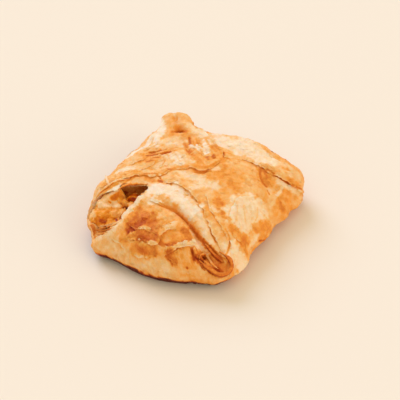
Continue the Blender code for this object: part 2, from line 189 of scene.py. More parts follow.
# Browning seen in the photograph, painted in this order. Each has the pixels of its route, then its
# half width in millimetres, its bake from 0, raw cream, to 1, scorched, and how strongly it covers
BROWNING = {
    "dome base": (((128, 222), (150, 222), (172, 236)), 13.0, 0.50, 0.9),
    "dome foot tan": (((112, 244), (135, 262), (165, 270), (195, 273)), 7.0, 0.34, 0.9),
    "dome foot straw": (((138, 262), (155, 266), (170, 270)), 3.0, 0.28, 0.8),
    "dome foot tan low": (((182, 276), (200, 279)), 2.5, 0.46, 0.8),
    "dome left tan": (((104, 243), (116, 246)), 6.0, 0.31, 0.9),
    "dome right tan": (((186, 266), (194, 272)), 4.5, 0.44, 0.9),
    "right flap base": (((205, 176), (236, 176), (262, 190)), 14.0, 0.42, 0.9),
    "right flap gold": (((222, 172), (230, 178), (238, 184)), 8.0, 0.50, 0.9),
    "right flap gold back": (((240, 165), (252, 172), (250, 186)), 7.0, 0.37, 0.9),
    "right flap gold left": (((205, 176), (216, 178)), 4.0, 0.50, 0.8),
    "right flap cream": (((194, 186), (203, 183), (214, 186)), 4.5, 0.22, 0.9),
    "right flap cream foot": (((213, 208), (216, 211)), 2.2, 0.16, 0.7),
    "right flap gold strip": (((218, 202), (224, 209), (226, 217)), 3.6, 0.57, 0.9),
    "right flap straw": (((212, 222), (218, 234), (222, 246)), 4.5, 0.33, 0.9),
    "right flap pale": (((236, 210), (246, 204), (256, 212)), 8.5, 0.15, 0.95),
    "right flap pale top": (((243, 198), (250, 196)), 3.0, 0.18, 0.9),
    "right flap pale low": (((236, 224), (246, 224), (256, 216)), 6.0, 0.18, 0.95),
    "right flap pale line": (((249, 205), (250, 212), (253, 219)), 1.0, 0.28, 0.7),
    "right flap pale back": (((260, 202), (266, 214)), 3.0, 0.20, 0.8),
    "right wall pale": (((232, 250), (238, 258), (242, 266)), 6.0, 0.14, 0.9),
    "right wall edge": (((252, 242), (256, 236)), 3.0, 0.22, 0.9),
    "right wall orange": (((232, 228), (238, 235), (246, 241)), 3.8, 0.51, 0.95),
    "right wall orange core": (((242, 239), (246, 243)), 2.4, 0.56, 0.8),
    "right wall orange foot": (((245, 246), (245, 254)), 2.0, 0.50, 0.9),
    "right wall orange back": (((256, 228), (262, 226), (267, 226)), 4.2, 0.50, 0.95),
    "back corner red": (((260, 171), (265, 179), (269, 184)), 4.4, 0.49, 0.9),
    "back corner red core": (((264, 179), (268, 185)), 1.8, 0.62, 0.8),
    "back corner face": (((277, 197), (288, 194), (295, 198), (284, 206)), 5.5, 0.46, 0.95),
    "back corner face red": (((276, 200), (280, 209)), 2.4, 0.58, 0.8),
    "back corner face light": (((293, 204), (298, 198)), 2.5, 0.35, 0.8),
    "back corner pale strip": (((278, 181), (288, 186), (298, 192)), 2.2, 0.16, 0.9),
    "back corner pale ridge": (((283, 186), (279, 192), (276, 196)), 1.0, 0.22, 0.9),
    "back corner neck": (((270, 190), (272, 200), (268, 210)), 3.0, 0.30, 0.8),
    "back corner foot gold": (((270, 212), (272, 222)), 2.6, 0.37, 0.8),
    "end lobe": (((284, 166), (296, 176)), 6.0, 0.32, 0.9),
    "end lobe dark": (((283, 168), (290, 171)), 1.2, 0.50, 0.8),
    "end lobe rim": (((286, 160), (296, 166), (302, 176)), 1.2, 0.44, 0.8),
    "end lobe foot": (((286, 179), (298, 186)), 1.4, 0.48, 0.8),
    "back lobe pale": (((222, 141), (246, 148), (268, 159)), 9.0, 0.15, 0.95),
    "back edge pale": (((216, 134), (232, 134), (248, 141), (262, 149), (276, 158)), 3.6, 0.18, 0.95),
    "back lobe straw": (((234, 136), (246, 139)), 1.6, 0.28, 0.6),
    "flap centre gold": (((198, 158), (199, 168), (206, 171)), 4.5, 0.47, 0.9),
    "flap centre orange": (((212, 148), (217, 153), (222, 158)), 3.5, 0.51, 0.9),
    "flap centre peach": (((206, 158), (213, 160), (218, 158)), 2.6, 0.47, 0.9),
    "flap centre spot one": (((206.5, 158), (208, 161)), 1.0, 0.70, 0.9),
    "flap centre spot two": (((213, 156), (214, 159.5)), 1.2, 0.76, 0.9),
    "flap centre cream": (((200, 150), (206, 153)), 2.4, 0.0, 0.9),
    "flap gap cream": (((209, 168), (218, 169)), 2.0, 0.20, 0.9),
    "neck cream": (((194, 146), (203, 150), (208, 143)), 3.6, 0.18, 0.9),
    "neck gold": (((211, 140), (214, 146)), 1.6, 0.34, 0.9),
    "neck streak": (((184, 142), (188, 148), (194, 157)), 1.5, 0.57, 0.9),
    "neck fleck": (((190, 139), (190, 144)), 1.1, 0.62, 0.9),
    "neck olive streak": (((198, 140), (202, 147)), 0.9, 0.54, 0.8),
    "left shoulder cream": (((152, 135), (144, 142), (136, 150), (126, 158)), 3.0, 0.08, 0.9),
    "left flap top": (((152, 145), (164, 142), (178, 141)), 5.0, 0.23, 0.9),
    "left flap top pink": (((160, 144), (167, 147)), 1.6, 0.38, 0.7),
    "left flap peach": (((124, 164), (136, 158), (146, 152)), 6.0, 0.36, 0.9),
    "left flap edge cream": (((118, 172), (126, 169), (134, 168)), 3.0, 0.14, 0.8),
    "left flap low": (((138, 168), (150, 168), (160, 166)), 3.0, 0.34, 0.8),
    "left flap red": (((148, 155), (158, 152.5), (170, 151)), 3.0, 0.54, 0.95),
    "left flap red left": (((143, 154), (147, 160)), 1.9, 0.54, 0.85),
    "left flap pink": (((148, 160), (157, 159)), 2.0, 0.44, 0.9),
    "left flap red low": (((148, 162), (153, 161)), 1.2, 0.60, 0.9),
    "left flap bright cream": (((173, 156), (180, 158), (180, 163)), 4.4, 0.15, 0.95),
    "left flap cream right": (((184, 160), (192, 162)), 2.4, 0.24, 0.8),
    "left flap low cream": (((156, 168), (164, 164)), 2.6, 0.30, 0.8),
    "lip top cream": (((141, 171), (148, 171)), 1.8, 0.26, 0.8),
    "seam cream": (((178, 174), (190, 176), (200, 178)), 4.0, 0.22, 0.9),
    "seam pale": (((165, 174), (172, 176)), 3.0, 0.36, 0.8),
    "seam gold": (((176, 173), (179, 176)), 1.0, 0.46, 0.7),
    "band cream": (((156, 190), (168, 189), (180, 197), (192, 210)), 7.0, 0.11, 0.97),
    "band pinkish": (((150, 202), (160, 203)), 2.0, 0.0, 0.8),
    "band low cream": (((199, 218), (206, 230), (212, 241)), 3.4, 0.20, 0.95),
    "band olive": (((190, 198), (196, 204)), 2.4, 0.26, 0.8),
    "band middle gold": (((149, 200), (157, 203)), 1.6, 0.20, 0.7),
    "lip strip cream": (((142, 198), (134, 205), (128, 212)), 2.6, 0.14, 0.97),
    "lip strip peach": (((124, 217), (117, 226), (108, 236)), 2.6, 0.23, 0.9),
    "dome gold": (((156, 212), (168, 213), (176, 219)), 6.0, 0.42, 0.9),
    "dome gold straw": (((163, 209), (172, 214)), 2.0, 0.34, 0.8),
    "dome gold mottle": (((158, 216), (166, 219)), 1.4, 0.38, 0.8),
    "dome middle": (((166, 232), (174, 237), (176, 242)), 5.0, 0.48, 0.95),
    "dome middle top": (((166, 228), (174, 226)), 2.6, 0.27, 0.9),
    "dome middle low": (((164, 243), (172, 244.5), (177, 243)), 1.8, 0.68, 0.85),
    "dome cream": (((176, 247), (184, 244), (191, 243)), 1.8, 0.24, 0.9),
    "dome right gold": (((180, 252), (186, 256)), 3.6, 0.46, 0.8),
    "dome left blush": (((122, 240), (127, 245)), 2.0, 0.54, 0.7),
    "dome brown left": (((123, 228), (129, 224)), 3.0, 0.43, 0.9),
    "dome brown": (((134, 226), (141, 219), (150, 220)), 5.4, 0.63, 0.95),
    "dome brown top": (((138, 213), (140, 210)), 1.8, 0.60, 0.8),
    "dome brown core": (((130, 231), (136, 227), (143, 222)), 2.6, 0.82, 0.85),
    "dome brown right": (((152, 226), (157, 232)), 3.0, 0.60, 0.85),
    "dome brown plate": (((136, 235), (146, 235.5), (155, 237.5)), 3.2, 0.64, 0.97),
    "dome brown plate core": (((140, 237), (150, 238)), 1.8, 0.69, 0.8),
    "dome brown low": (((136, 248), (144, 250), (152, 252)), 4.0, 0.59, 0.95),
    "dome brown low core": (((141, 250), (148, 252)), 2.4, 0.65, 0.8),
    "dome brown low left": (((131, 246), (134, 249)), 2.0, 0.44, 0.8),
    "dome brown square": (((185, 231), (189, 237)), 3.0, 0.64, 0.95),
    "dome brown foot": (((169, 254), (174, 262)), 2.8, 0.69, 0.9),
    "dome plate straw": (((162, 235), (166, 240)), 2.6, 0.42, 0.8),
    "fold wall": (((191, 230), (198, 240), (206, 249)), 1.6, 0.30, 0.85),
    "tip gold": (((194, 243), (202, 247), (207, 250)), 3.0, 0.22, 0.9),
    "tip base": (((199, 257), (209, 262), (220, 267)), 5.2, 0.64, 0.97),
    "tip red": (((200, 261), (208, 266), (219, 271)), 2.4, 0.80, 0.9),
    "tip bar red": (((205, 243), (212, 250), (219, 258)), 1.8, 0.67, 0.9),
    "arch band": (((118, 190), (126, 185), (138, 181), (150, 180), (156, 182)), 2.4, 0.34, 0.9),
    "arch band left": (((104, 196), (111, 191), (120, 186)), 1.6, 0.02, 0.85),
    "arch dark": (((146, 179), (153, 181)), 1.6, 0.54, 0.8),
    "ear gold": (((165, 115), (168, 121)), 3.0, 0.36, 0.9),
    "ear orange": (((171, 117), (173, 124), (176, 126)), 2.6, 0.45, 0.9),
    "ear right gold": (((182, 114), (186, 121)), 4.0, 0.38, 0.9),
    "ear under orange": (((171, 133), (178, 133), (184, 132)), 2.6, 0.45, 0.95),
    "ear neck pale": (((189, 126), (196, 132), (204, 137)), 3.4, 0.20, 0.9),
    "ear wing pale": (((161, 122), (162, 130), (156, 138)), 3.2, 0.05, 0.9),
    "upper lip gold": (((100, 193), (107, 187), (116, 182)), 1.2, 0.38, 0.8),
}
# Thin lines, painted last in the same way: dark ones where layers part and in creases, which are
# painted shade in the gaps as well as browned folds; pale streaks, those along the dome's flake edges
# and on the tip being painted highlight; and scorched specks
LINES = {
    "lip line": (((124, 179.5), (130, 178), (136, 176.5), (142, 175.3), (150, 174.8), (157, 174.8),
                  (160, 177.5), (162, 181)), 0.6, 0.64, 0.9),
    "lip line two": (((100, 193), (104, 189), (110, 186), (116, 182), (121, 178.5)), 0.9, 0.56, 0.85),
    "lip line three": (((124, 175.5), (130, 174), (136, 171)), 0.5, 0.50, 0.7),
    "lip line four": (((122, 186), (127, 181), (132, 179)), 0.7, 0.56, 0.8),
    "fold start": (((160, 204), (167, 206.5), (175, 210), (181, 214.5), (188, 221.5)), 1.1, 0.56, 0.9),
    "fold start dark": (((176, 211), (182, 216), (187.5, 221.5)), 0.5, 0.70, 0.8),
    "fold groove": (((190, 224), (195, 230.5), (199, 236), (203, 240)), 1.1, 0.70, 0.9),
    "fold groove low": (((203, 240), (209, 246), (215, 252), (220, 260)), 1.1, 0.70, 0.9),
    "flap line": (((205, 215), (207.5, 221), (209, 228)), 0.6, 0.50, 0.8),
    "flap line low": (((210.5, 230), (213, 236), (216, 242)), 0.6, 0.62, 0.9),
    "flap line right": (((225, 230), (228.5, 237), (229.5, 243), (228, 250), (225, 255)), 0.6, 0.55, 0.85),
    "flap edge gold": (((199, 194), (206, 202), (210, 211)), 1.0, 0.42, 0.8),
    "seam line": (((223, 160), (219, 162.5), (212, 166), (205, 168.5)), 0.9, 0.55, 0.9),
    "seam knot": (((223.5, 153), (224, 158)), 0.8, 0.68, 0.9),
    "seam knot side": (((225, 158), (229, 158.5)), 0.9, 0.58, 0.85),
    "seam dark": (((195, 171.5), (202, 172.5), (209, 170.5)), 0.9, 0.57, 0.9),
    "seam low": (((212, 171.5), (218, 174.5)), 0.6, 0.48, 0.7),
    "left line": (((171, 148.5), (180, 148), (188, 151), (193, 156)), 0.7, 0.46, 0.8),
    "left line gold": (((174, 168.5), (183, 167.3), (191, 167.8)), 0.8, 0.50, 0.85),
    "red line one": (((149, 151.5), (158, 150.5), (166, 149.5)), 0.7, 0.72, 0.9),
    "red line two": (((147, 156), (160, 154.5), (171, 152)), 0.8, 0.74, 0.9),
    "red line three": (((151, 158.5), (160, 157.5)), 0.6, 0.68, 0.9),
    "fan line one": (((150, 169.5), (157, 170), (161, 167), (165, 160)), 0.5, 0.50, 0.8),
    "fan line two": (((162, 174.5), (166, 171.5), (170, 169.8), (176, 169)), 0.6, 0.57, 0.9),
    "back crease": (((260, 167), (269, 171), (276, 175.5), (283, 180), (292, 185), (302, 189.5)), 0.5,
                    0.70, 0.9),
    "back lobe line": (((226, 153), (234, 155)), 0.6, 0.48, 0.8),
    "corner pleat one": (((260, 170), (260.5, 175), (263, 181), (267, 186)), 0.9, 0.66, 0.85),
    "corner pleat two": (((263, 170), (266, 175), (267, 178)), 0.7, 0.64, 0.8),
    "corner pleat three": (((268, 190), (269.5, 194.5)), 0.6, 0.70, 0.8),
    # The pale dome edges are painted highlight on raised flake edges, and the dark edges painted shade
    # beside them
    "dome pale edge one": (((128, 238), (132, 241), (140, 240.5), (147, 243.5), (153, 242), (159, 245.5)),
                           0.6, 0.34, 0.9),
    "dome pale edge two": (((130, 234), (136, 232), (139, 229), (144, 227.5), (149, 229)), 0.6, 0.32,
                           0.9),
    "dome pale edge three": (((165, 228.5), (171, 226), (177, 222)), 0.6, 0.26, 0.8),
    "dome dark edge": (((162, 229.5), (167, 226), (171, 224.5)), 0.4, 0.72, 0.8),
    "dome plate edge": (((137, 239.5), (144, 239), (150, 240)), 0.5, 0.80, 0.8),
    "square edge": (((182, 242), (188, 241.5), (192, 239.5)), 0.6, 0.70, 0.8),
    "ear dent": (((173, 131), (179, 128), (186, 131.5)), 1.6, 0.62, 0.95),
    "ear dent core": (((176, 129.5), (180, 128), (184, 130)), 1.0, 0.74, 0.9),
    "neck streak one": (((196, 139), (199, 147)), 0.6, 0.54, 0.85),
    "neck streak two": (((206, 142), (210, 149), (212, 156)), 0.7, 0.48, 0.85),
    "neck streak three": (((186, 148), (190, 153)), 0.6, 0.62, 0.85),
    "neck streak four": (((201, 150), (203, 156)), 0.6, 0.50, 0.85),
    "neck streak five": (((195, 157), (200, 160), (204, 166)), 0.8, 0.54, 0.85),
    "neck streak six": (((216, 146), (220, 152)), 0.7, 0.54, 0.85),
    "neck streak seven": (((189, 138.5), (191, 144)), 0.8, 0.70, 0.9),
    "neck streak eight": (((193, 141), (195, 146)), 0.5, 0.60, 0.85),
    "fan streak one": (((172, 151), (177, 156), (180, 163)), 0.5, 0.34, 0.8),
    "fan streak two": (((178, 150), (183, 156), (185, 163)), 0.5, 0.34, 0.8),
    "fan streak three": (((184, 152), (188, 158), (189, 164)), 0.5, 0.38, 0.8),
    "fan streak four": (((168, 155), (170, 161), (168, 166)), 0.5, 0.40, 0.8),
    "patch streak one": (((236, 203), (237, 212), (236, 220)), 0.5, 0.34, 0.8),
    "patch streak two": (((243, 206), (244, 215), (246, 222)), 0.5, 0.32, 0.8),
    "patch streak three": (((257, 208), (257, 216), (254, 224)), 0.5, 0.36, 0.8),
    "ear speck": (((176.5, 117), (177, 119)), 0.5, 0.56, 0.8),
    "tip dark one": (((191.5, 249), (193, 254), (194, 260.5)), 0.9, 0.82, 0.9),
    "tip dark two": (((196, 257.5), (200, 260), (204.5, 264.5)), 1.2, 0.88, 0.95),
    "tip dark eye": (((204, 256.5), (205.5, 258)), 1.0, 0.92, 0.95),
    "tip dark low": (((206, 266), (212, 270)), 0.9, 0.84, 0.9),
    "tip dark rim": (((209, 269.5), (214, 272.5), (221, 274.5), (227, 272), (229.5, 266)), 1.1, 0.92,
                     0.95),
    "tip dark heart": (((213, 254), (217, 258), (220.5, 261.5)), 1.0, 0.84, 0.9),
    # Painted highlight on the curl of the tip
    "tip light": (((205, 262), (209, 265), (213, 265.5)), 0.7, 0.34, 0.85),
    "slit one": (((158.5, 180.5), (162, 181)), 1.0, 0.72, 0.95),
    "slit two": (((167, 182.3), (170, 183), (171.5, 185)), 0.5, 0.70, 0.9),
    "slit three": (((183, 187), (186, 190)), 0.6, 0.58, 0.9),
    "speck one": (((165.5, 166.2), (167, 166.5)), 0.6, 0.64, 0.9),
    "speck two": (((169, 169.8), (171, 170.5)), 0.8, 0.66, 0.9),
    "speck three": (((187, 267), (187.5, 267.5)), 0.7, 0.92, 0.95),
    "pin hole one": (((184.7, 193), (185, 198)), 0.4, 0.44, 0.8),
    "pin hole two": (((187, 195), (187.3, 196)), 0.5, 0.56, 0.9),
    "pin hole three": (((191, 197), (193, 199)), 0.4, 0.52, 0.9),
    "pin hole four": (((196, 200), (197, 202)), 0.5, 0.60, 0.9),
    "pin hole five": (((199.3, 202), (200, 204)), 0.5, 0.64, 0.9),
    "pin hole six": (((197, 205), (200, 207.5)), 0.5, 0.52, 0.8),
    "pin hole seven": (((204, 209), (204.5, 211)), 0.5, 0.50, 0.8),
    "band fleck": (((175, 191), (178, 191.5)), 0.5, 0.42, 0.8),
    # Dark lines along the foot; the one at the back corner is painted contact shadow where the foot meets
    # the floor
    "foot dark line": (((230, 277), (232, 276), (234, 274.5)), 0.7, 0.92, 0.95),
    "side crack": (((258, 240.5), (261, 238.5)), 0.6, 0.78, 0.9),
    "corner contact shadow": (((280, 219), (284, 216.5), (288, 214)), 0.6, 0.78, 0.9),
    "left foot dark line": (((129.5, 255), (130, 259)), 0.6, 0.52, 0.7),
}


# Grooves, with a negative rise, and ridges seen in the photograph: the pixels of each route, from
# left to right, then its rise and width in millimetres
CREASES = {
    "front groove": (((187, 221), (194, 229.5), (200, 238), (207, 245), (214, 252), (221, 261)), -1.2, 1.1),
    "front groove lip": (((184, 226), (190, 233), (196, 241), (203, 248)), 1.1, 1.5),
    "fold start": (((160, 204), (173, 209.5), (180, 214), (188, 221.5)), -0.8, 1.0),
    "back crease": (((258, 166), (269, 171), (280, 178), (290, 184), (304, 190)), -0.9, 0.8),
    "back crease lip": (((262, 164), (273, 169), (284, 175), (296, 182)), 0.9, 1.8),
    "end lobe dent": (((283, 168), (289, 170)), -1.0, 1.6),
    "pleat one": (((260, 169), (261, 176), (264, 182)), -0.5, 1.0),
    "pleat two": (((264, 182), (268, 188), (269.5, 194)), -0.6, 1.1),
    "pleat ridge": (((265, 172), (268, 179), (272, 186)), 0.9, 1.6),
    "corner ridge": (((285, 185), (281, 190), (277, 196), (273, 203)), 0.9, 1.3),
    "seam": (((195, 171.5), (203, 172), (212, 167), (219, 163), (223.5, 158)), -0.9, 1.0),
    "seam top": (((223, 152), (224, 158)), -0.9, 0.9),
    "neck wrinkle one": (((183, 141), (187, 146), (191, 152), (194, 157)), -1.1, 1.1),
    "neck wrinkle two": (((198, 139), (200, 143), (203, 147)), -0.9, 0.9),
    "neck wrinkle three": (((189, 138), (190, 144)), -0.7, 0.8),
    "neck ridge one": (((188, 141), (193, 148), (197, 154)), 0.9, 1.4),
    "neck ridge two": (((204, 140), (208, 147), (211, 155)), 0.9, 1.8),
    "neck side": (((212, 139), (216, 145), (222, 151)), 0.8, 1.8),
    "left wave one": (((171, 148.5), (180, 148), (188, 151), (193, 156)), -0.7, 1.0),
    "left wave two": (((174, 168.5), (183, 167.5), (191, 168)), -0.7, 1.0),
    "left wave ridge": (((172, 154), (181, 154), (189, 159)), 0.7, 2.4),
    "red crease one": (((149, 152), (158, 150.5)), -0.6, 0.9),
    "red crease two": (((150, 156), (160, 154.5), (170, 152.5)), -0.7, 0.9),
    "fan crease": (((150, 170), (157, 169.5), (162, 165), (166, 157)), -0.6, 0.8),
    "ear dent": (((173, 130), (179, 127.5), (186, 131)), -2.2, 1.7),
    "ear split": (((174, 112), (175.5, 118), (178, 124)), -1.8, 1.5),
    "ear cap": (((166, 121), (172, 124.5), (180, 124), (187, 126)), 1.0, 1.8),
    "ear wing": (((165, 122), (160, 130), (155, 140)), 1.6, 2.2),
    "tip dark one": (((191.5, 249), (193, 254), (194, 261)), -1.3, 1.1),
    "tip dark two": (((196, 257), (200, 259.5), (205, 265)), -1.5, 1.2),
    "tip dark eye": (((204, 256), (206, 258)), -1.2, 1.0),
    "tip loop": (((200, 256), (203, 253), (207, 253), (209, 257), (211, 262)), 1.1, 0.9),
    "tip ridge": (((210, 252), (212, 258), (214, 264), (218, 268)), 1.0, 1.1),
    "tip rim": (((222, 256), (227, 260), (228.5, 265), (226, 270), (219, 270.5), (212, 267.5)), 1.3, 1.2),
    "tip under": (((207, 268.5), (214, 272), (222, 274.5), (228, 272)), -2.0, 1.1),
    "flap line one": (((205, 214), (208, 221), (210, 229)), -0.5, 0.7),
    "flap line two": (((210.5, 230), (213, 236), (216, 242)), -0.6, 0.7),
    "flap line three": (((225, 230), (228.5, 237), (229.5, 243), (225, 255)), -0.8, 0.8),
    "flap ridge": (((222, 228), (226, 236), (226.5, 245)), 0.6, 1.4),
    "band wave": (((176, 196), (186, 203), (194, 213), (202, 226)), -0.5, 1.6),
    "pin row": (((185, 193), (194, 199), (204, 208)), -0.4, 0.8),
    "dot": (((187, 267), (187.6, 267)), -1.0, 0.8),
}
# Torn edges of flakes on the crust, from left to right: with a positive height the layer above the
# route in the photograph stands proud, and with a negative one the layer below it
TEARS = {
    "plate foot": (((126, 238), (133, 241), (140, 240.5), (147, 243.5), (153, 242), (158, 245), (166, 249)),
                   -0.8, 5.0),
    "plate top": (((129, 234.5), (136, 232), (141, 228.5), (147, 230), (152, 233), (158, 237)), -0.8, 4.5),
    "dome middle": (((160, 230.5), (168, 226), (177, 220.5)), -0.8, 5.0),
    "low middle": (((162, 245.5), (170, 247), (178, 245), (184, 242.5), (191, 240)), -0.9, 5.0),
    "low right": (((167, 253), (174, 252), (180, 248)), -0.6, 4.0),
    "foot wedge": (((168, 257), (173, 264), (177, 266)), 0.6, 3.5),
    "brown low": (((131, 252), (138, 257), (148, 257.5), (156, 254)), 0.5, 4.0),
    "dome left": (((112, 237), (118, 243), (125, 249)), 0.5, 4.0),
    "band edge": (((150, 200), (157, 203), (163, 205)), 0.6, 3.0),
    "right pale": (((228, 222), (231, 210), (236, 200), (244, 197), (251, 196)), -0.5, 5.0),
    "right foot": (((231, 232), (236, 239), (243, 245)), 0.5, 4.0),
    "flap centre": (((199, 153), (206, 157), (214, 157)), 0.6, 4.0),
    "left flap": (((128, 166), (138, 162), (146, 158)), 0.5, 4.0),
    "left flap low": (((137, 172), (149, 168), (158, 160)), 0.4, 4.0),
    "left back": (((142, 151), (150, 147), (158, 141)), 0.5, 4.0),
}
# What shows inside the open corner, on its walls and on the cheese, painted like the browning
MOUTH_BROWNING = {
    "outer rim": (((94, 204), (98, 196), (104, 189), (112, 184), (120, 180)), 1.6, 0.04, 0.8),
    "arch gold": (((108, 197), (114, 191), (124, 186), (138, 182), (150, 182)), 3.0, 0.34, 0.95),
    "yellow wall": (((97, 203), (103, 199), (110, 196)), 3.6, 0.30, 0.95),
    "nook": (((113.5, 198), (118, 195.5)), 2.4, 0.64, 0.95),
    "nook top": (((111, 193), (116, 190.5)), 1.4, 0.12, 0.9),
    "nook side": (((121, 191), (121.5, 199)), 1.5, 0.50, 0.9),
    "deep hollow": (((128, 190.5), (136, 191), (147, 189)), 5.0, 0.50, 0.97),
    "deep hollow foot": (((130, 195.5), (141, 196)), 2.4, 0.80, 0.9),
    "hollow corner": (((124, 192), (126, 193)), 1.4, 0.82, 0.95),
    "hollow red": (((129, 200.5), (134, 199.5), (138, 200.5)), 1.9, 0.84, 0.95),
    "hollow pink": (((129, 197), (134, 196.3), (138, 198)), 0.5, 0.40, 0.85),
    "pale curd one": (((101, 205), (109, 204.5)), 2.4, 0.24, 0.95),
    "pale curd two": (((112, 204), (116, 203), (118, 206)), 2.0, 0.27, 0.95),
    "pale curd middle": (((113, 206), (116, 206.5)), 1.0, 0.20, 0.8),
    "curl line": (((119, 202), (124, 206), (124, 212), (121, 218)), 0.9, 0.60, 0.9),
    "curl middle": (((112, 212), (119, 211)), 2.6, 0.42, 0.9),
    "left curd": (((91, 211), (94, 218)), 3.0, 0.28, 0.95),
    "orange curd": (((99, 212), (105, 214)), 3.0, 0.49, 0.95),
    "orange low": (((109, 217), (114, 221)), 2.0, 0.54, 0.9),
    "scorched curd": (((97, 220), (105, 221)), 2.8, 0.63, 0.95),
    "scorched core": (((101, 221), (105, 222)), 1.4, 0.80, 0.95),
    "pit": (((116, 219.5), (117, 220.5)), 0.8, 0.92, 0.95),
    "fleck one": (((109, 202), (110, 202.5)), 0.7, 0.78, 0.9),
    "fleck two": (((96, 206), (97, 206.5)), 0.7, 0.60, 0.9),
    "lip shine": (((101, 226), (110, 225), (118, 221.5)), 0.8, 0.20, 0.9),
    "lip layer one": (((98, 229), (107, 229), (115, 226)), 1.3, 0.38, 0.9),
    "lip layer two": (((97, 233.5), (104, 232), (110, 229)), 0.9, 0.46, 0.9),
    "lip layer three": (((96, 238), (103, 235), (109, 231)), 0.9, 0.78, 0.9),
    "left edge red": (((92, 225), (93, 231), (94, 237)), 1.4, 0.70, 0.9),
}
# Lumps of curd on the cheese that shows: the pixel of each lump's middle, its radius, and how far
# its top lies under the line of the closed dough
CURDS = {
    "wall left": ((97, 201), 5.0, 1.6),
    "wall": ((104, 196), 5.0, 1.7),
    "wall top": ((111, 191.5), 4.2, 1.9),
    "wall end": ((118, 188), 3.2, 2.2),
    "nook": ((115, 197), 4.4, 4.2),
    "nook side": ((121, 199), 3.6, 3.6),
    "hollow back": ((135, 190), 6.0, 5.6),
    "pale one": ((104, 206), 4.4, 2.4),
    "pale two": ((115, 205), 3.8, 3.2),
    "orange": ((101, 213), 4.8, 2.6),
    "left": ((93, 214), 4.4, 1.4),
    "curl": ((120, 210), 4.0, 2.6),
    "middle": ((111, 212), 4.6, 2.6),
    "scorched": ((98, 221), 4.2, 2.6),
    "scorched side": ((106, 220), 3.8, 3.0),
    "low": ((114, 219), 3.6, 3.0),
    "hollow floor": ((130, 201), 3.2, 3.6),
}
CURD_BLEND = 1.6
# Rolled rims and bars of dough that lie on the crust or inside the open corner: the pixels of each
# route, its radius in millimetres, its bake, and whether it lies in the corner
ROLLED_RIMS = {
    "tip rim": (((219, 252), (224, 256), (227.5, 261), (228.5, 266), (226, 270.5), (219, 272),
                 (211, 269), (204, 265), (199, 260)), 1.6, 0.60, False),
    "tip loop": (((199, 259), (201, 255), (205, 253), (208.5, 255.5), (210.5, 260), (213, 265),
                  (218, 268)), 0.9, 0.46, False),
    "tip heart": (((204, 260), (207, 264), (212, 267)), 0.9, 0.52, False),
    "tip bar": (((204, 242), (209, 248), (214, 254), (219, 259), (223, 263)), 1.2, 0.64, False),
    "tip wall": (((194, 246), (195.5, 252), (197, 256)), 1.2, 0.46, False),
    "upper rim": (((93, 204), (97, 196), (103, 189.5), (111, 185), (120, 181), (130, 179)), 0.9, 0.26,
                  False),
    "arch rim": (((118, 190), (126, 186), (137, 184), (148, 184)), 0.9, 0.44, False),
    "curl": (((117, 201), (122, 203.5), (124.5, 208), (124, 213), (120, 217.5), (114, 218)), 0.8, 0.52,
             True),
    "lip one": (((97, 226), (104, 227.5), (111, 226.5), (119, 222.5)), 0.8, 0.40, True),
    "lip two": (((94, 229), (101, 231), (108, 230), (115, 226.5)), 0.7, 0.52, True),
    "lip three": (((95, 233), (101, 234.5), (108, 232)), 0.7, 0.46, True),
    "lip four": (((95, 238), (101, 238), (107, 235)), 0.6, 0.50, True),
    "wing flake": (((109.5, 187), (107.5, 181), (106, 175.5)), 1.1, 0.22, True),
}
# Where the outline of the dough differs from its lobes: pixels that show the middle, rise and radius
BULGES = {
    "back corner foot": ((297, 204), 2.6, 7.0),
    "right notch": ((281, 212), 4.5, 8.0),
    "right side": ((266, 230), 2.8, 9.0),
    "right front": ((245, 256), 2.0, 8.0),
    "front right foot": ((212, 279), 2.6, 9.0),
    "left shoulder": ((145, 142), -4.0, 9.0),
    "back edge dip": ((274, 154), -3.6, 9.0),
}
# Where the dough is crumpled: pixels at both ends of the way that its wrinkles run, how far they
# spread from there and how deep they are, in millimetres
CRUMPLES = {
    "neck": ((183, 138), (216, 156), 12.0, 0.9),
    "left flap": ((182, 148), (148, 158), 10.0, 0.6),
}
CRUMPLE_SIZE = 4.5
CRUMPLE_STRETCH = 0.65
# How much paler the crumpled ridges and darker their valleys are painted: painted highlight and painted
# shade
CRUMPLE_LIGHT_AND_SHADE = 0.20
# How far the foot of the dough draws in under it, and at the front, where the dark foot shows, how far
# forward the front starts, the rim's height, how uneven it is and how far it stands out, the foot's
# nearly scorched bake, which is painted shadow for the dark band where the front meets the floor as
# well as a browned underside, and how strongly that covers the other sides
FOOT_DRAW = 16.0
FRONT_FOOT_DRAW = -3.5
FRONT_FOOT_FROM = (45.0, 58.0)
FOOT_HEIGHT = 8.5
FOOT_RAGGED = 0.22
FOOT_LIP = 1.6
FOOT_SHADOW_BAKE = 0.98
SIDE_FOOT_SHADOW_COVER = 0.35
# Where the crust is flakiest
FLAKY_MIDDLE = np.array((-6.0, -58.0, 32.0))
FLAKY_REACH = 26.0
# The shade of bake at which each of the named colours shows
BAKE_STEPS = {"raw": 0.0, "cream": 0.15, "straw": 0.33, "gold": 0.48, "amber": 0.62, "brown": 0.76,
              "russet": 0.88, "scorched": 1.0}
# Where the main light and the low light shine from
KEY_FROM = (-0.78, 0.40, 0.72)
FILL_FROM = (0.91, 0.10, 0.40)


def direction(turn, rise):
    """The unit vector from the aim towards a camera that is turned and raised from the front."""
    return np.array((math.sin(turn) * math.cos(rise), -math.cos(turn) * math.cos(rise), math.sin(rise)))


VIEW_BACK = direction(VIEW_TURN, VIEW_RISE)
VIEW_RIGHT = np.array((math.cos(VIEW_TURN), math.sin(VIEW_TURN), 0.0))
VIEW_UP = np.cross(VIEW_BACK, VIEW_RIGHT)


def linear(hex_colour):
    """An sRGB colour, written as hex, as linear red, green and blue."""
    shares = [int(hex_colour[i:i + 2], 16) / 255 for i in (1, 3, 5)]
    return tuple(c / 12.92 if c <= 0.04045 else ((c + 0.055) / 1.055) ** 2.4 for c in shares)


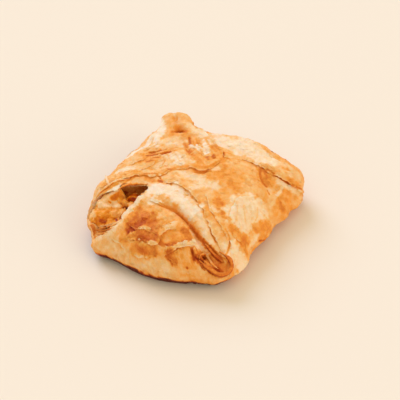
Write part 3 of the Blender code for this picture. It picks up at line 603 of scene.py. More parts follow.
# Signed distances


def ellipsoid_distance(points, centre, radii, power=2.0):
    """Rough signed distance to an ellipsoid, squared off in plan by a power above 2."""
    offset = np.abs(points - centre) / radii
    plan = (offset[:, 0] ** power + offset[:, 1] ** power) ** (2.0 / power)
    level = np.sqrt(plan + offset[:, 2] ** 2)
    return (level - 1.0) * min(radii)


def roll_distance(points, start, end, start_radius, end_radius):
    """Signed distance to a round bar that tapers from one radius to another."""
    start, end = np.array(start, float), np.array(end, float)
    axis = end - start
    along = np.clip((points - start) @ axis / (axis @ axis), 0.0, 1.0)
    nearest = start + along[:, None] * axis
    radius = start_radius + along * (end_radius - start_radius)
    return np.linalg.norm(points - nearest, axis=1) - radius


def soft_union(first, second, width):
    """The lesser of two distances, with the crease between them filled over the given width."""
    mix = np.clip(0.5 + 0.5 * (second - first) / width, 0.0, 1.0)
    return second + (first - second) * mix - width * mix * (1.0 - mix)


def dough_distance(points):
    """Signed distance to the outside of the swollen dough, before its folds are pressed in."""
    distance = ellipsoid_distance(points, *CORE, power=CORE_SQUARENESS)
    for centre, radii in LOBES.values():
        distance = soft_union(distance, ellipsoid_distance(points, centre, radii), LOBE_BLEND)
    for roll in ROLLS.values():
        distance = soft_union(distance, roll_distance(points, *roll), LOBE_BLEND)
    return distance


def filling_distance(points):
    """Signed distance to the cheese filling."""
    distance = ellipsoid_distance(points, *FILLING_MASS)
    distance = soft_union(distance, roll_distance(points, *FILLING_ARM), 1.5 * FILLING_BLEND)
    for centre, radius in FILLING_LUMPS:
        lump = np.linalg.norm(points - np.array(centre), axis=1) - radius
        distance = soft_union(distance, lump, FILLING_BLEND)
    return distance


def cavity_distance(points):
    """Signed distance to the space that the filling takes up in the dough."""
    return filling_distance(points) - FILLING_GAP


def mouth_distance(points):
    """Signed distance to the hollow that opens the front left corner."""
    distance = roll_distance(points, *MOUTH_ROLLS[0])
    for roll in MOUTH_ROLLS[1:]:
        distance = soft_union(distance, roll_distance(points, *roll), MOUTH_BLEND)
    return distance


def gradient(points, distance, reach=0.4):
    """Unit vectors pointing out of the shape that a distance function describes."""
    slopes = np.empty_like(points)
    for axis in range(3):
        shift = np.zeros(3)
        shift[axis] = reach
        slopes[:, axis] = distance(points + shift) - distance(points - shift)
    return slopes / np.maximum(np.linalg.norm(slopes, axis=1, keepdims=True), 1e-9)


CAST_STEPS = 40
CAST_HALVINGS = 10


def cast(inner, outer, distance):
    """The outermost points of a shape on straight rays from inner to outer points."""
    ray = outer - inner
    low = np.zeros(len(inner))
    high = np.full(len(inner), 1.0 / CAST_STEPS)
    searched = np.arange(len(inner))
    for share in np.linspace(1.0, 0.0, CAST_STEPS + 1):
        inside = distance(inner[searched] + ray[searched] * share) < 0.0
        low[searched[inside]] = share
        high[searched[inside]] = min(1.0, share + 1.0 / CAST_STEPS)
        searched = searched[~inside]
    for _ in range(CAST_HALVINGS):
        middle = (low + high) / 2
        inside = distance(inner + ray * middle[:, None]) < 0.0
        low = np.where(inside, middle, low)
        high = np.where(inside, high, middle)
    return inner + ray * low[:, None]


# Routes on the dough


def smooth_route(points, spacing=1.0):
    """Points along a smooth curve through a route, with any fourth number carried along."""
    points = np.array(points, float)
    if len(points) == 1:
        return points
    padded = np.vstack([2 * points[0] - points[1], points, 2 * points[-1] - points[-2]])
    pieces = []
    for before, start, end, after in zip(padded, padded[1:], padded[2:], padded[3:]):
        count = max(2, int(np.linalg.norm((end - start)[:3]) / spacing))
        t = np.linspace(0.0, 1.0, count, endpoint=False)[:, None]
        pieces.append(0.5 * (2 * start + (end - before) * t
                             + (2 * before - 5 * start + 4 * end - after) * t ** 2
                             + (3 * start - before - 3 * end + after) * t ** 3))
    pieces.append(points[-1:])
    return np.vstack(pieces)


def lay_on_dough(points):
    """Slides points onto the surface of the dough."""
    for _ in range(4):
        points = points - gradient(points, dough_distance) * dough_distance(points)[:, None]
    return points


def seen(pixels, distance):
    """Where lines from the camera through pixels of the photograph meet a shape, or pass nearest."""
    spots = (np.array(pixels, float) - AIM_PIXEL) / LENS_PIXELS
    rays = VIEW_RIGHT * spots[:, :1] - VIEW_UP * spots[:, 1:2] - VIEW_BACK
    rays /= np.linalg.norm(rays, axis=1, keepdims=True)
    places = VIEW_AIM + VIEW_BACK * VIEW_DISTANCE + rays * VIEW_DISTANCE * 0.8
    nearest, best = np.full(len(places), np.inf), places.copy()
    for _ in range(60):
        away = distance(places)
        closer = away < nearest
        nearest[closer], best[closer] = away[closer], places[closer]
        places = places + rays * away[:, None]
    return best


def on_dough(pixels):
    """Places on the dough's outside that pixels of the photograph show."""
    return lay_on_dough(seen(pixels, dough_distance))


def opened_distance(points, cheese=filling_distance):
    """Signed distance to the dough with its open corner, and the cheese in it."""
    opened = np.maximum(dough_distance(points), -mouth_distance(points))
    return np.minimum(opened, cheese(points))


@functools.cache
def curds():
    """The middles and radii of the lumps of curd that show in the open corner."""
    places = on_dough([pixel for pixel, _, _ in CURDS.values()])
    outward = gradient(places, dough_distance)
    return [(place - (radius + depth) * normal, radius)
            for place, normal, (_, radius, depth) in zip(places, outward, CURDS.values())]


def cheese_distance(points):
    """Signed distance to the cheese with its lumps of curd."""
    distance = filling_distance(points)
    for middle, radius in curds():
        distance = soft_union(distance, np.linalg.norm(points - middle, axis=1) - radius, CURD_BLEND)
    return distance


def in_mouth(pixels):
    """Places inside the open corner that pixels of the photograph show."""
    return seen(pixels, functools.partial(opened_distance, cheese=cheese_distance))


def near_route(points, line, reach):
    """Which points lie in the box round a line, grown by a reach."""
    return ((points > line.min(0) - reach) & (points < line.max(0) + reach)).all(axis=1)


def route_measures(points, line, share=None):
    """Each point's distance from a line on the dough, its side of it, and the line's share there."""
    nearest = np.full(len(points), np.inf)
    side = np.zeros(len(points))
    strength = np.ones(len(points))
    if len(line) == 1:
        return np.linalg.norm(points - line[0], axis=1), side, strength
    outward = gradient(line, dough_distance)
    for index in range(len(line) - 1):
        start, step = line[index], line[index + 1] - line[index]
        along = np.clip((points - start) @ step / (step @ step), 0.0, 1.0)
        offset = points - start - along[:, None] * step
        away = np.linalg.norm(offset, axis=1)
        closer = away < nearest
        nearest[closer] = away[closer]
        side[closer] = np.sign(offset @ np.cross(outward[index], step))[closer]
        if share is not None:
            strength[closer] = (share[index] + along * (share[index + 1] - share[index]))[closer]
    return nearest, side, np.clip(strength, 0.0, 1.0)


def fade(distance, width):
    """1 on a line, falling smoothly to nothing a few widths away."""
    return np.exp(-(distance / width) ** 2)


def step(values, low, high):
    """0 below low and 1 above high, with a smooth ramp between them."""
    share = np.clip((values - low) / (high - low), 0.0, 1.0)
    return share * share * (3.0 - 2.0 * share)


def grain(points, size, seed=0, octaves=3):
    """Smooth noise from about -1 to 1 at each point, with lumps of a size in millimetres."""
    shift = Vector((17.3, 9.1, 5.7)) * seed
    return np.array([noise.fractal(Vector(p) / size + shift, 1.0, 2.0, octaves)
                     for p in points.tolist()])


# The crust's relief and browning

EDGE_SHARPNESS = 0.55
EDGE_JAG = 1.2
EDGE_JAG_SIZE = 4.5
LINE_GROOVE = -0.30
# How much darker the dough is painted just below each raised edge: painted shade
UNDER_EDGE_SHADE = 0.16
UNSEEN_BROWN = 0.26
UNSEEN_PALE = 0.24


def torn(points):
    """How far the torn edge of a layer wanders from its route, in millimetres."""
    return grain(points, EDGE_JAG_SIZE, seed=1) * EDGE_JAG


def laid(route):
    """A route on the plan as a smooth line on the dough, and the share of the full size along it."""
    curve = smooth_route(route)
    return lay_on_dough(curve[:, :3]), curve[:, 3]


def shown(pixels, spacing=1.4):
    """A route in pixels as a smooth line on the dough, and a share that falls off at its ends."""
    line = on_dough(smooth_route(pixels, spacing))
    along = np.linspace(0.0, 1.0, len(line))
    return line, step(along, -0.1, 0.2) * step(1.0 - along, -0.1, 0.2)


@functools.cache
def ridge_lines():
    """Every fold, crease and dark line of the crust, with its rise and width."""
    ridges = [(*laid(route), rise, width) for route, rise, width in FOLDS.values()]
    ridges += [(*shown(pixels), rise, width) for pixels, rise, width in CREASES.values()]
    ridges += [(*shown(pixels), LINE_GROOVE, width) for pixels, width, bake_and_shade, _ in LINES.values()
               if bake_and_shade > 0.5]
    return ridges


@functools.cache
def edge_lines():
    """Every flap edge and torn edge of the crust, with its height and reach."""
    edges = [(*laid(route), height, reach) for route, height, reach in EDGES.values()]
    return edges + [(*shown(pixels), height, reach) for pixels, height, reach in TEARS.values()]


def fold_relief(points):
    """How far each point of the dough moves out for its folds, flap edges and blisters."""
    relief = np.zeros(len(points))
    jag = torn(points)
    for line, share, rise, width in ridge_lines():
        near = near_route(points, line, 3 * width)
        away, _, strength = route_measures(points[near], line, share)
        relief[near] += rise * strength * fade(away, width)
    for line, share, height, reach in edge_lines():
        near = near_route(points, line, 3 * reach)
        away, side, strength = route_measures(points[near], line, share)
        level = 0.5 + 0.5 * np.tanh((np.sign(height) * side * away + jag[near]) / EDGE_SHARPNESS)
        relief[near] += abs(height) * strength * level * fade(away, reach)
    for middle, rise, radius in bumps():
        relief += rise * fade(np.linalg.norm(points - middle, axis=1), radius)
    return relief


@functools.cache
def bumps():
    """Every blister, dent and bulge of the crust, with its rise and radius."""
    blisters = [(np.array(middle, float), rise, radius) for middle, rise, radius in BLISTERS.values()]
    places = on_dough([pixel for pixel, _, _ in BULGES.values()])
    return blisters + [(place, rise, radius) for place, (_, rise, radius) in zip(places, BULGES.values())]


def fine_relief(points):
    """Small flakes, wrinkles and blisters all over the dough, which fade out at its foot."""
    plates = grain(points, 13.0, seed=2, octaves=4) * 3.2 + grain(points, 2.4, seed=3, octaves=2) * 0.14
    flakes = step(plates - np.floor(plates), 0.44, 0.56) + np.floor(plates)
    swell = grain(points, 8.0, seed=4, octaves=2)
    blisters = step(grain(points, 3.4, seed=10, octaves=2), 0.15, 0.6)
    crinkle = grain(points, 1.9, seed=5, octaves=3)
    fine = 0.30 * flakes + 0.50 * swell + 0.35 * blisters + 0.14 * crinkle
    return fine * step(points[:, 2], 0.0, 4.0)


def crumple(points):
    """Wrinkles that run one way over the crumpled parts of the dough, in millimetres."""
    wrinkles = np.zeros(len(points))
    for start, end, reach, depth in CRUMPLES.values():
        first, last = on_dough((start, end))
        way = (last - first) / np.linalg.norm(last - first)
        away = np.linalg.norm(points - (first + last) / 2, axis=1)
        near = away < 2.0 * reach
        along = points[near] @ way
        narrow = points[near] - CRUMPLE_STRETCH * along[:, None] * way
        ridges = np.clip(1.0 - 4.0 * np.abs(grain(narrow, CRUMPLE_SIZE, seed=26)), -1.0, 1.0)
        wrinkles[near] += depth * ridges * fade(away[near], reach)
    return wrinkles


def relief(points):
    """How far each point of the dough moves out in all."""
    return fold_relief(points) + fine_relief(points) + crumple(points)


def foot_height(points):
    """How high the uneven rim over the foot of the dough stands at each point."""
    return FOOT_HEIGHT * (1.0 + FOOT_RAGGED * grain(points, 5.0, seed=25, octaves=4))


def at_front(points):
    """1 along the front of the dough, and 0 on its other sides."""
    return step(-points[:, 1], *FRONT_FOOT_FROM)


def paint(points, bake_and_shade, strokes, wander, onto=on_dough):
    """Paints named strokes over the bake of points, with edges that wander by a share of their width."""
    for pixels, width, level, cover in strokes.values():
        line = onto(smooth_route(pixels, spacing=2.0))
        near = near_route(points, line, 2 * width + 0.5)
        away, _, _ = route_measures(points[near], line)
        away += grain(points[near], max(1.5, 0.5 * width), seed=8) * wander * width
        share = cover * step(-away, -1.35 * width - 0.2, -0.65 * width)
        bake_and_shade[near] += (level - bake_and_shade[near]) * share


def browning(points):
    """The bake of each point of the dough's outside, from 0, raw cream, to 1, scorched, with painted
    shade under raised edges, in crumpled valleys and on the dark foot, and painted highlight on crumpled
    ridges.
    """
    outward = gradient(points, dough_distance)
    bake_and_shade = 0.40 + 0.10 * grain(points, 22.0, seed=6) + 0.05 * grain(points, 7.0, seed=7)
    unseen = step(-(outward @ VIEW_BACK), 0.0, 0.25) * step(outward[:, 2], -0.5, 0.1)
    patches = grain(points, 11.0, seed=13, octaves=4)
    bake_and_shade += unseen * (UNSEEN_BROWN * step(patches, 0.05, 0.30) - UNSEEN_PALE * step(-patches, 0.0, 0.25))
    bake_and_shade += 0.20 * step(-outward[:, 2], 0.0, 0.8)
    paint(points, bake_and_shade, BROWNING, 0.55)
    mottle = grain(points, 4.0, seed=9, octaves=3)
    bake_and_shade += 0.05 * step(mottle, 0.05, 0.30) - 0.05 * step(-mottle, 0.05, 0.30)
    # Painted highlight on the ridges of the crumpled dough and painted shade in its valleys
    bake_and_shade -= CRUMPLE_LIGHT_AND_SHADE * crumple(points)
    # Painted shade: the dough is painted darker on the low side just below every flap edge and torn edge
    jag = torn(points)
    for line, share, height, _ in edge_lines():
        near = near_route(points, line, 4.0)
        away, side, strength = route_measures(points[near], line, share)
        past = np.sign(height) * side * away + jag[near]
        bake_and_shade[near] += UNDER_EDGE_SHADE * strength * step(-past, -0.3, 0.3) * fade(past, 1.6)
    paint(points, bake_and_shade, LINES, 0.4)
    # Painted shadow: the foot under the rim is painted nearly scorched as the dark contact band at the
    # front, and more weakly on the other sides
    foot = step(foot_height(points) - points[:, 2], 0.0, 1.2) * step(points[:, 2], -1.5, 0.5)
    foot *= SIDE_FOOT_SHADOW_COVER + (1.0 - SIDE_FOOT_SHADOW_COVER) * at_front(points)
    return bake_and_shade + (FOOT_SHADOW_BAKE - bake_and_shade) * foot


# Meshes


def cube_grid(across, up):
    """A cube from -1 to 1 with its faces cut into a grid."""
    shape = bmesh.new()
    bmesh.ops.create_cube(shape, size=2.0)
    level = [e for e in shape.edges if abs(e.verts[0].co.z - e.verts[1].co.z) < 1.0]
    bmesh.ops.subdivide_edges(shape, edges=level, cuts=across - 1, use_grid_fill=True)
    upright = [e for e in shape.edges if abs(e.verts[0].co.z - e.verts[1].co.z) > 1.0]
    bmesh.ops.subdivide_edges(shape, edges=upright, cuts=up - 1, use_grid_fill=True)
    return shape


def places_of(mesh):
    """A mesh's points in millimetres on the pastry's plan."""
    spots = np.empty(len(mesh.vertices) * 3, np.float32)
    mesh.vertices.foreach_get("co", spots)
    return spots.reshape(-1, 3).astype(float) / MM - PLAN_SHIFT


def normals_of(mesh):
    """The direction that a mesh faces at each of its points."""
    facing = np.empty(len(mesh.vertices) * 3, np.float32)
    mesh.vertex_normals.foreach_get("vector", facing)
    return facing.reshape(-1, 3).astype(float)


def place(mesh, points):
    """Puts a mesh's points at places in millimetres on the pastry's plan, inside the CAD box."""
    spots = (points + PLAN_SHIFT) * MM
    spots = np.clip(spots, np.array(CAD_BOX[0]), np.array(CAD_BOX[1]))
    mesh.vertices.foreach_set("co", spots.astype(np.float32).ravel())
    mesh.update()


def object_of(shape, name):
    """A new object in the scene from a bmesh, which is then freed."""
    mesh = bpy.data.meshes.new(name)
    shape.to_mesh(mesh)
    shape.free()
    thing = bpy.data.objects.new(name, mesh)
    bpy.context.scene.collection.objects.link(thing)
    return thing


def grid_object(name, across, up, places):
    """An object whose grid of a cube is moved to new places by a function."""
    thing = object_of(cube_grid(across, up), name)
    spots = np.empty(len(thing.data.vertices) * 3, np.float32)
    thing.data.vertices.foreach_get("co", spots)
    place(thing.data, places(spots.reshape(-1, 3).astype(float)))
    return thing


def spine_places(cube, spine, reach, distance, crowd=1.0):
    """Points of a cube's grid moved out to a shape that is drawn out along a spine. A crowd below 1
    brings the cells closer together towards the spine's end."""
    start, end = np.array(spine[0], float), np.array(spine[1], float)
    forward = (end - start) / np.linalg.norm(end - start)
    across = np.cross((0.0, 0.0, 1.0), forward)
    across /= np.linalg.norm(across)
    share = ((cube[:, :1] + 1) / 2) ** crowd
    inner = start + share * (end - start)
    outer = inner + forward * cube[:, :1] * reach[0] + across * cube[:, 1:2] * reach[1]
    outer[:, 2] += cube[:, 2] * reach[2]
    return cast(inner, outer, distance)


def give_attribute(mesh, name, values):
    """Stores one number for each point of a mesh, under a name that a material reads."""
    attribute = mesh.attributes.new(name, "FLOAT", "POINT")
    attribute.data.foreach_set("value", np.asarray(values, np.float32))


def settle(thing, material, slot, *replaced):
    """Gives a finished piece its material and body, and hides the CAD nodes that it stands for. The slot is
    not used.
    """
    thing.data.materials.clear()
    thing.data.materials.append(material)
    thing.data.shade_smooth()
    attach(thing, "root")
    if replaced:
        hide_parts(*replaced)


def apply_modifiers(thing):
    """Makes what an object's modifiers give its own mesh, and removes them."""
    graph = bpy.context.evaluated_depsgraph_get()
    mesh = bpy.data.meshes.new_from_object(thing.evaluated_get(graph))
    thing.modifiers.clear()
    old = thing.data
    thing.data = mesh
    bpy.data.meshes.remove(old)
    mesh.name = thing.name


def cut_away(thing, cutter):
    """Takes a cutter's shape out of an object for good, and removes the cutter."""
    cut = thing.modifiers.new("cut", "BOOLEAN")
    cut.operation = "DIFFERENCE"
    cut.solver = "MANIFOLD"
    cut.object = cutter
    apply_modifiers(thing)
    bpy.data.objects.remove(cutter)


# Materials


def add(tree, kind, settings=None, links=None):
    """Adds a node. Settings are its properties or inputs, by name or number, and links join inputs."""
    node = tree.nodes.new(kind)
    for name, value in (settings or {}).items():
        if isinstance(name, str) and hasattr(node, name):
            setattr(node, name, value)
        else:
            node.inputs[name].default_value = value
    for name, output in (links or {}).items():
        tree.links.new(node.inputs[name], output)
    return node


def bake_ramp(tree, factor, colours):
    """The colours of dough from raw to scorched, over a bake from 0 to 1."""
    node = add(tree, "ShaderNodeValToRGB", None, {"Fac": factor})
    band = node.color_ramp
    steps = [(share, (*getattr(colours, name), 1.0)) for name, share in BAKE_STEPS.items()]
    band.elements[0].position, band.elements[0].color = steps[0]
    band.elements[1].position, band.elements[1].color = steps[-1]
    for share, colour in steps[1:-1]:
        band.elements.new(share).color = colour
    return node


def new_material(name):
    """A material with its node tree and its main shader."""
    material = bpy.data.materials.new(name)
    material.use_nodes = True
    return material, material.node_tree, material.node_tree.nodes["Principled BSDF"]


def soften(shader, gloss_level):
    """Lets a little light through, as dough and curd do, and sets how strongly the surface glints."""
    shader.inputs["Subsurface Weight"].default_value = 0.18
    shader.inputs["Subsurface Radius"].default_value = (1.0, 0.42, 0.14)
    shader.inputs["Subsurface Scale"].default_value = 2.0 * MM
    shader.inputs["Specular IOR Level"].default_value = gloss_level


def baked_pastry(colours):
    """Laminated wheat dough, baked with an egg wash: satin gold that breaks into cream and brown."""
    material, tree, shader = new_material("egg-washed puff pastry, baked")
    place_of = add(tree, "ShaderNodeTexCoord").outputs["Object"]
    # The bake attribute holds the browning together with painted shade and painted highlight
    bake_and_shade = add(tree, "ShaderNodeAttribute", {"attribute_name": "bake_and_shade"}).outputs["Fac"]
    # Clouds of browning about 4 mm wide, and specks of about 1 mm where bubbles burst
    mottle = add(tree, "ShaderNodeTexNoise", {"Scale": 260.0, "Detail": 5.0, "Roughness": 0.62},
                 {"Vector": place_of}).outputs["Fac"]
    speckle = add(tree, "ShaderNodeTexNoise", {"Scale": 1000.0, "Detail": 3.0, "Roughness": 0.6},
                  {"Vector": place_of}).outputs["Fac"]
    # Thin layers that end in steps about 2 mm apart: a sawtooth over wandering contours
    contour = add(tree, "ShaderNodeTexNoise", {"Scale": 110.0, "Detail": 4.0, "Roughness": 0.55,
                                               "Distortion": 0.4}, {"Vector": place_of}).outputs["Fac"]
    sawtooth = add(tree, "ShaderNodeMath", {"operation": "MULTIPLY", 1: 22.0}, {0: contour})
    layers = add(tree, "ShaderNodeMath", {"operation": "FRACT"}, {0: sawtooth.outputs[0]}).outputs[0]
    with_mottle = add(tree, "ShaderNodeMath", {"operation": "MULTIPLY_ADD", 1: 0.20},
                      {0: mottle, 2: bake_and_shade}).outputs[0]
    with_speckle = add(tree, "ShaderNodeMath", {"operation": "MULTIPLY_ADD", 1: 0.15},
                       {0: speckle, 2: with_mottle}).outputs[0]
    with_layers = add(tree, "ShaderNodeMath", {"operation": "MULTIPLY_ADD", 1: 0.05},
                      {0: layers, 2: with_speckle}).outputs[0]
    centred = add(tree, "ShaderNodeMath", {"operation": "SUBTRACT", 1: 0.2}, {0: with_layers}).outputs[0]
    tree.links.new(shader.inputs["Base Color"], bake_ramp(tree, centred, colours).outputs["Color"])
    gloss = add(tree, "ShaderNodeMapRange", {"From Min": 0.1, "From Max": 0.8, "To Min": 0.62,
                                             "To Max": 0.40}, {"Value": centred})
    tree.links.new(shader.inputs["Roughness"], gloss.outputs["Result"])
    soften(shader, 0.1)
    steps = add(tree, "ShaderNodeBump", {"Strength": 0.5, "Distance": 0.0003}, {"Height": layers})
    clouds = add(tree, "ShaderNodeBump", {"Strength": 0.45, "Distance": 0.0010},
                 {"Height": mottle, "Normal": steps.outputs["Normal"]})
    pits = add(tree, "ShaderNodeBump", {"Strength": 0.5, "Distance": 0.0004},
               {"Height": speckle, "Normal": clouds.outputs["Normal"]})
    tree.links.new(shader.inputs["Normal"], pits.outputs["Normal"])
    return material


def baked_cheese(colours):
    """Curd cheese browned in a hot oven: soft orange lumps with a greasy sheen and scorched tips."""
    material, tree, shader = new_material("curd cheese, oven-browned")
    place_of = add(tree, "ShaderNodeTexCoord").outputs["Object"]
    bake_and_shade = add(tree, "ShaderNodeAttribute", {"attribute_name": "bake_and_shade"}).outputs["Fac"]
    # Curds of about 3 mm with finer grains on them
    grains = add(tree, "ShaderNodeTexNoise", {"Scale": 420.0, "Detail": 5.0, "Roughness": 0.65},
                 {"Vector": place_of}).outputs["Fac"]
    uneven = add(tree, "ShaderNodeMath", {"operation": "MULTIPLY_ADD", 1: 0.32}, {0: grains, 2: bake_and_shade})
    centred = add(tree, "ShaderNodeMath", {"operation": "SUBTRACT", 1: 0.16}, {0: uneven.outputs[0]})
    ramp = bake_ramp(tree, centred.outputs[0], colours)
    # The curd's fat takes on a stronger orange than the dough does
    colour = add(tree, "ShaderNodeHueSaturation", {"Saturation": 1.04}, {"Color": ramp.outputs["Color"]})
    tree.links.new(shader.inputs["Base Color"], colour.outputs["Color"])
    shader.inputs["Roughness"].default_value = 0.38
    soften(shader, 0.2)
    bump = add(tree, "ShaderNodeBump", {"Strength": 0.7, "Distance": 0.0009}, {"Height": grains})
    tree.links.new(shader.inputs["Normal"], bump.outputs["Normal"])
    return material


def plain_material(name, colour, roughness):
    """A smooth, even finish."""
    material, _, shader = new_material(name)
    shader.inputs["Base Color"].default_value = (*colour, 1.0)
    shader.inputs["Roughness"].default_value = roughness
    return material


# The crust and the cheese

LAYER_PITCH = 1.1
LAYER_LEDGE = 0.8
# Cells across and up in the grids that cut the open corner and the space for the cheese
MOUTH_CELLS = (74, 64)
CAVITY_CELLS = (40, 14)


def layer_wave(points):
    """The dough's thin layers where they are torn across, from 0 to 1 over each layer."""
    depth = -dough_distance(points)
    layers = depth / LAYER_PITCH + 0.8 * grain(points, 7.0, seed=16)
    return np.abs(layers % 1.0 - 0.5) * 2.0


def torn_mouth(cube):
    """The hollow of the open corner, with ledges where it cuts through the layers of the dough."""
    wall = spine_places(cube, MOUTH_SPINE, MOUTH_REACH, mouth_distance)
    depth = -dough_distance(wall)
    ledges = LAYER_LEDGE * (layer_wave(wall) - 0.5) * step(depth, -1.0, 0.5) * step(-depth, -9.0, -6.0)
    shift = ledges + 0.6 * grain(wall, 3.5, seed=18)
    return wall + gradient(wall, mouth_distance) * shift[:, None]


def filling_space(cube):
    """The space that the cheese takes up in the dough."""
    return spine_places(cube, FILLING_SPINE, FILLING_REACH, cavity_distance)


def outer_crust(cube):
    """The outside of the dough with all its relief, and the same places before the relief."""
    inner = cube * (INNER_SPREAD, INNER_SPREAD, 0.0) + (0, 0, MIDDLE_HEIGHT)
    outer = cube * (OUTER_SPREAD, OUTER_SPREAD, OUTER_RISE) + (0, 0, MIDDLE_HEIGHT)
    smooth = cast(inner, outer, dough_distance)
    surface = smooth + gradient(smooth, dough_distance) * relief(smooth)[:, None]
    surface[:, 2] = np.maximum(surface[:, 2], 0.0)
    ragged = foot_height(smooth)
    draw = FOOT_DRAW + (FRONT_FOOT_DRAW - FOOT_DRAW) * at_front(smooth)
    drawn_in = draw * np.clip(1.0 - surface[:, 2] / ragged, 0.0, 1.0) ** 1.3
    drawn_in -= FOOT_LIP * fade(surface[:, 2] - ragged, 0.4 * FOOT_HEIGHT)
    across = np.linalg.norm(surface[:, :2], axis=1)
    surface[:, :2] *= (1.0 - drawn_in / np.maximum(across, 1.0))[:, None]
    return surface, smooth


def make_crust(settings, colours):
    """The folded dough with its open corner, in place of the plain pastry solid."""
    kept = []

    def outside(cube):
        surface, smooth = outer_crust(cube)
        kept.append(browning(smooth))
        return surface

    crust = grid_object("crust", settings.cells_across, settings.cells_up, outside)
    skin = kdtree.KDTree(len(crust.data.vertices))
    for index, point in enumerate(places_of(crust.data).tolist()):
        skin.insert(point, index)
    skin.balance()
    cut_away(crust, grid_object("mouth", *MOUTH_CELLS, torn_mouth))
    cut_away(crust, grid_object("cavity", *CAVITY_CELLS, filling_space))
    points = places_of(crust.data)
    bake_and_shade = np.empty(len(points))
    for index, point in enumerate(points.tolist()):
        _, nearest, away = skin.find(point)
        bake_and_shade[index] = kept[0][nearest] if away < 0.3 else np.nan
    inside = np.isnan(bake_and_shade)
    walls = points[inside]
    # The torn walls inside the open corner are painted darker with depth into the hollow, painted shade,
    # with bands across the layers
    shade = 0.34 + 0.42 * step(-dough_distance(walls), 3.0, 10.0) + 0.16 * (layer_wave(walls) - 0.5)
    paint(walls, shade, MOUTH_BROWNING, 0.5, in_mouth)
    bake_and_shade[inside] = shade
    give_attribute(crust.data, "bake_and_shade", bake_and_shade)
    settle(crust, baked_pastry(colours), "crust", "pastry")
    return crust


def make_filling(settings, colours):
    """The browned cheese at the open corner and inwards, in place of the plain filling solid."""
    kept = []

    def outside(cube):
        surface = spine_places(cube, FILLING_SPINE, FILLING_REACH, cheese_distance, crowd=0.5)
        lumps = 0.9 * grain(surface, 3.0, seed=11, octaves=4)
        room = 0.4 + 1.0 * step(-mouth_distance(surface), 0.0, 3.0)
        surface += gradient(surface, cheese_distance) * np.minimum(lumps, room)[:, None]
        bake_and_shade = 0.44 + 0.12 * grain(surface, 5.0, seed=12, octaves=3) - 0.06 * lumps
        paint(surface, bake_and_shade, MOUTH_BROWNING, 0.5, in_mouth)
        kept.append(bake_and_shade)
        return surface

    filling = grid_object("filling", settings.curd_cells, settings.curd_cells // 3, outside)
    give_attribute(filling.data, "bake_and_shade", kept[0])
    settle(filling, baked_cheese(colours), "filling", "cheese_filling")
    return filling


# Thin layers with torn rims

SHEET_ROWS = 8
SHEET_CELL = 0.75
SHEET_SINK = 0.45
TALL_EDGE = 1.5


def sheet_orders():
    """Each thin layer's route, raised side, reach back, overhang, lift and change of bake at its rim."""
    for line, share, height, _ in edge_lines():
        side, size = np.sign(height), min(1.0, abs(height) / TALL_EDGE)
        yield line, share, side, 4.5, 0.55 * size, 0.28 * size, -0.08


def plan_sheet(shape, line, share, side, back, overhang, lift, rim_bake):
    """Adds a sheet's grid to a bmesh. Gives its places on the dough, where its height is read, its
    rise over that height and its change of bake."""
    length = np.concatenate([[0.0], np.cumsum(np.linalg.norm(np.diff(line, axis=0), axis=1))])
    cells = max(4, int(length[-1] / SHEET_CELL))
    grid = bmesh.ops.create_grid(shape, x_segments=cells, y_segments=SHEET_ROWS, size=1.0)["verts"]
    spots = np.array([tuple(vert.co) for vert in grid])
    along, out = (1.0 - side * spots[:, 0]) / 2, (spots[:, 1] + 1.0) / 2
    walk = along * length[-1]
    before, middle, after = (np.column_stack([np.interp(walk + ahead, length, line[:, axis])
                                              for axis in range(3)]) for ahead in (-0.5, 0.0, 0.5))
    left = side * np.cross(gradient(middle, dough_distance), after - before)
    left /= np.maximum(np.linalg.norm(left, axis=1, keepdims=True), 1e-9)
    ends = np.interp(walk, length, share) * step(along, 0.0, 0.12) * step(1.0 - along, 0.0, 0.12)
    jag = torn(middle)
    rim = -jag - overhang * ends + 0.35 * grain(middle, 1.8, seed=15, octaves=2)
    offset = back * (1.0 - out) + rim * out
    base = lay_on_dough(middle + left * offset[:, None])
    held = lay_on_dough(middle + left * np.maximum(offset, 0.9 - jag)[:, None])
    curl = lift * ends * (0.4 + 0.9 * step(grain(middle, 4.0, seed=17, octaves=2), -0.3, 0.5))
    rise = (SHEET_SINK * ends + curl) * out ** 1.6 - SHEET_SINK
    return base, held, rise, rim_bake * out ** 4


def make_layers(settings, colours):
    """The thin layers of dough along the flap edges and round the torn flakes."""
    shape = bmesh.new()
    plans = [plan_sheet(shape, *order) for order in sheet_orders()]
    base, held, rise, rim_bake = (np.concatenate(parts) for parts in zip(*plans))
    layers = object_of(shape, "layers")
    height = relief(held) + rise
    place(layers.data, base + gradient(base, dough_distance) * height[:, None])
    give_attribute(layers.data, "bake_and_shade", browning(held) + rim_bake)
    wall = layers.modifiers.new("wall", "SOLIDIFY")
    wall.thickness = settings.layer_thickness
    wall.offset = -1.0
    apply_modifiers(layers)
    settle(layers, baked_pastry(colours), "crust")
    layers.data.set_sharp_from_angle(angle=math.radians(50.0))
    return layers


# Rolled rims

RIM_SIDES = 3
RIM_SPACING = 0.8
RIM_RISE = 0.45
# How much darker the underside of each rim is painted: painted shade
RIM_UNDERSIDE_SHADE = 0.26


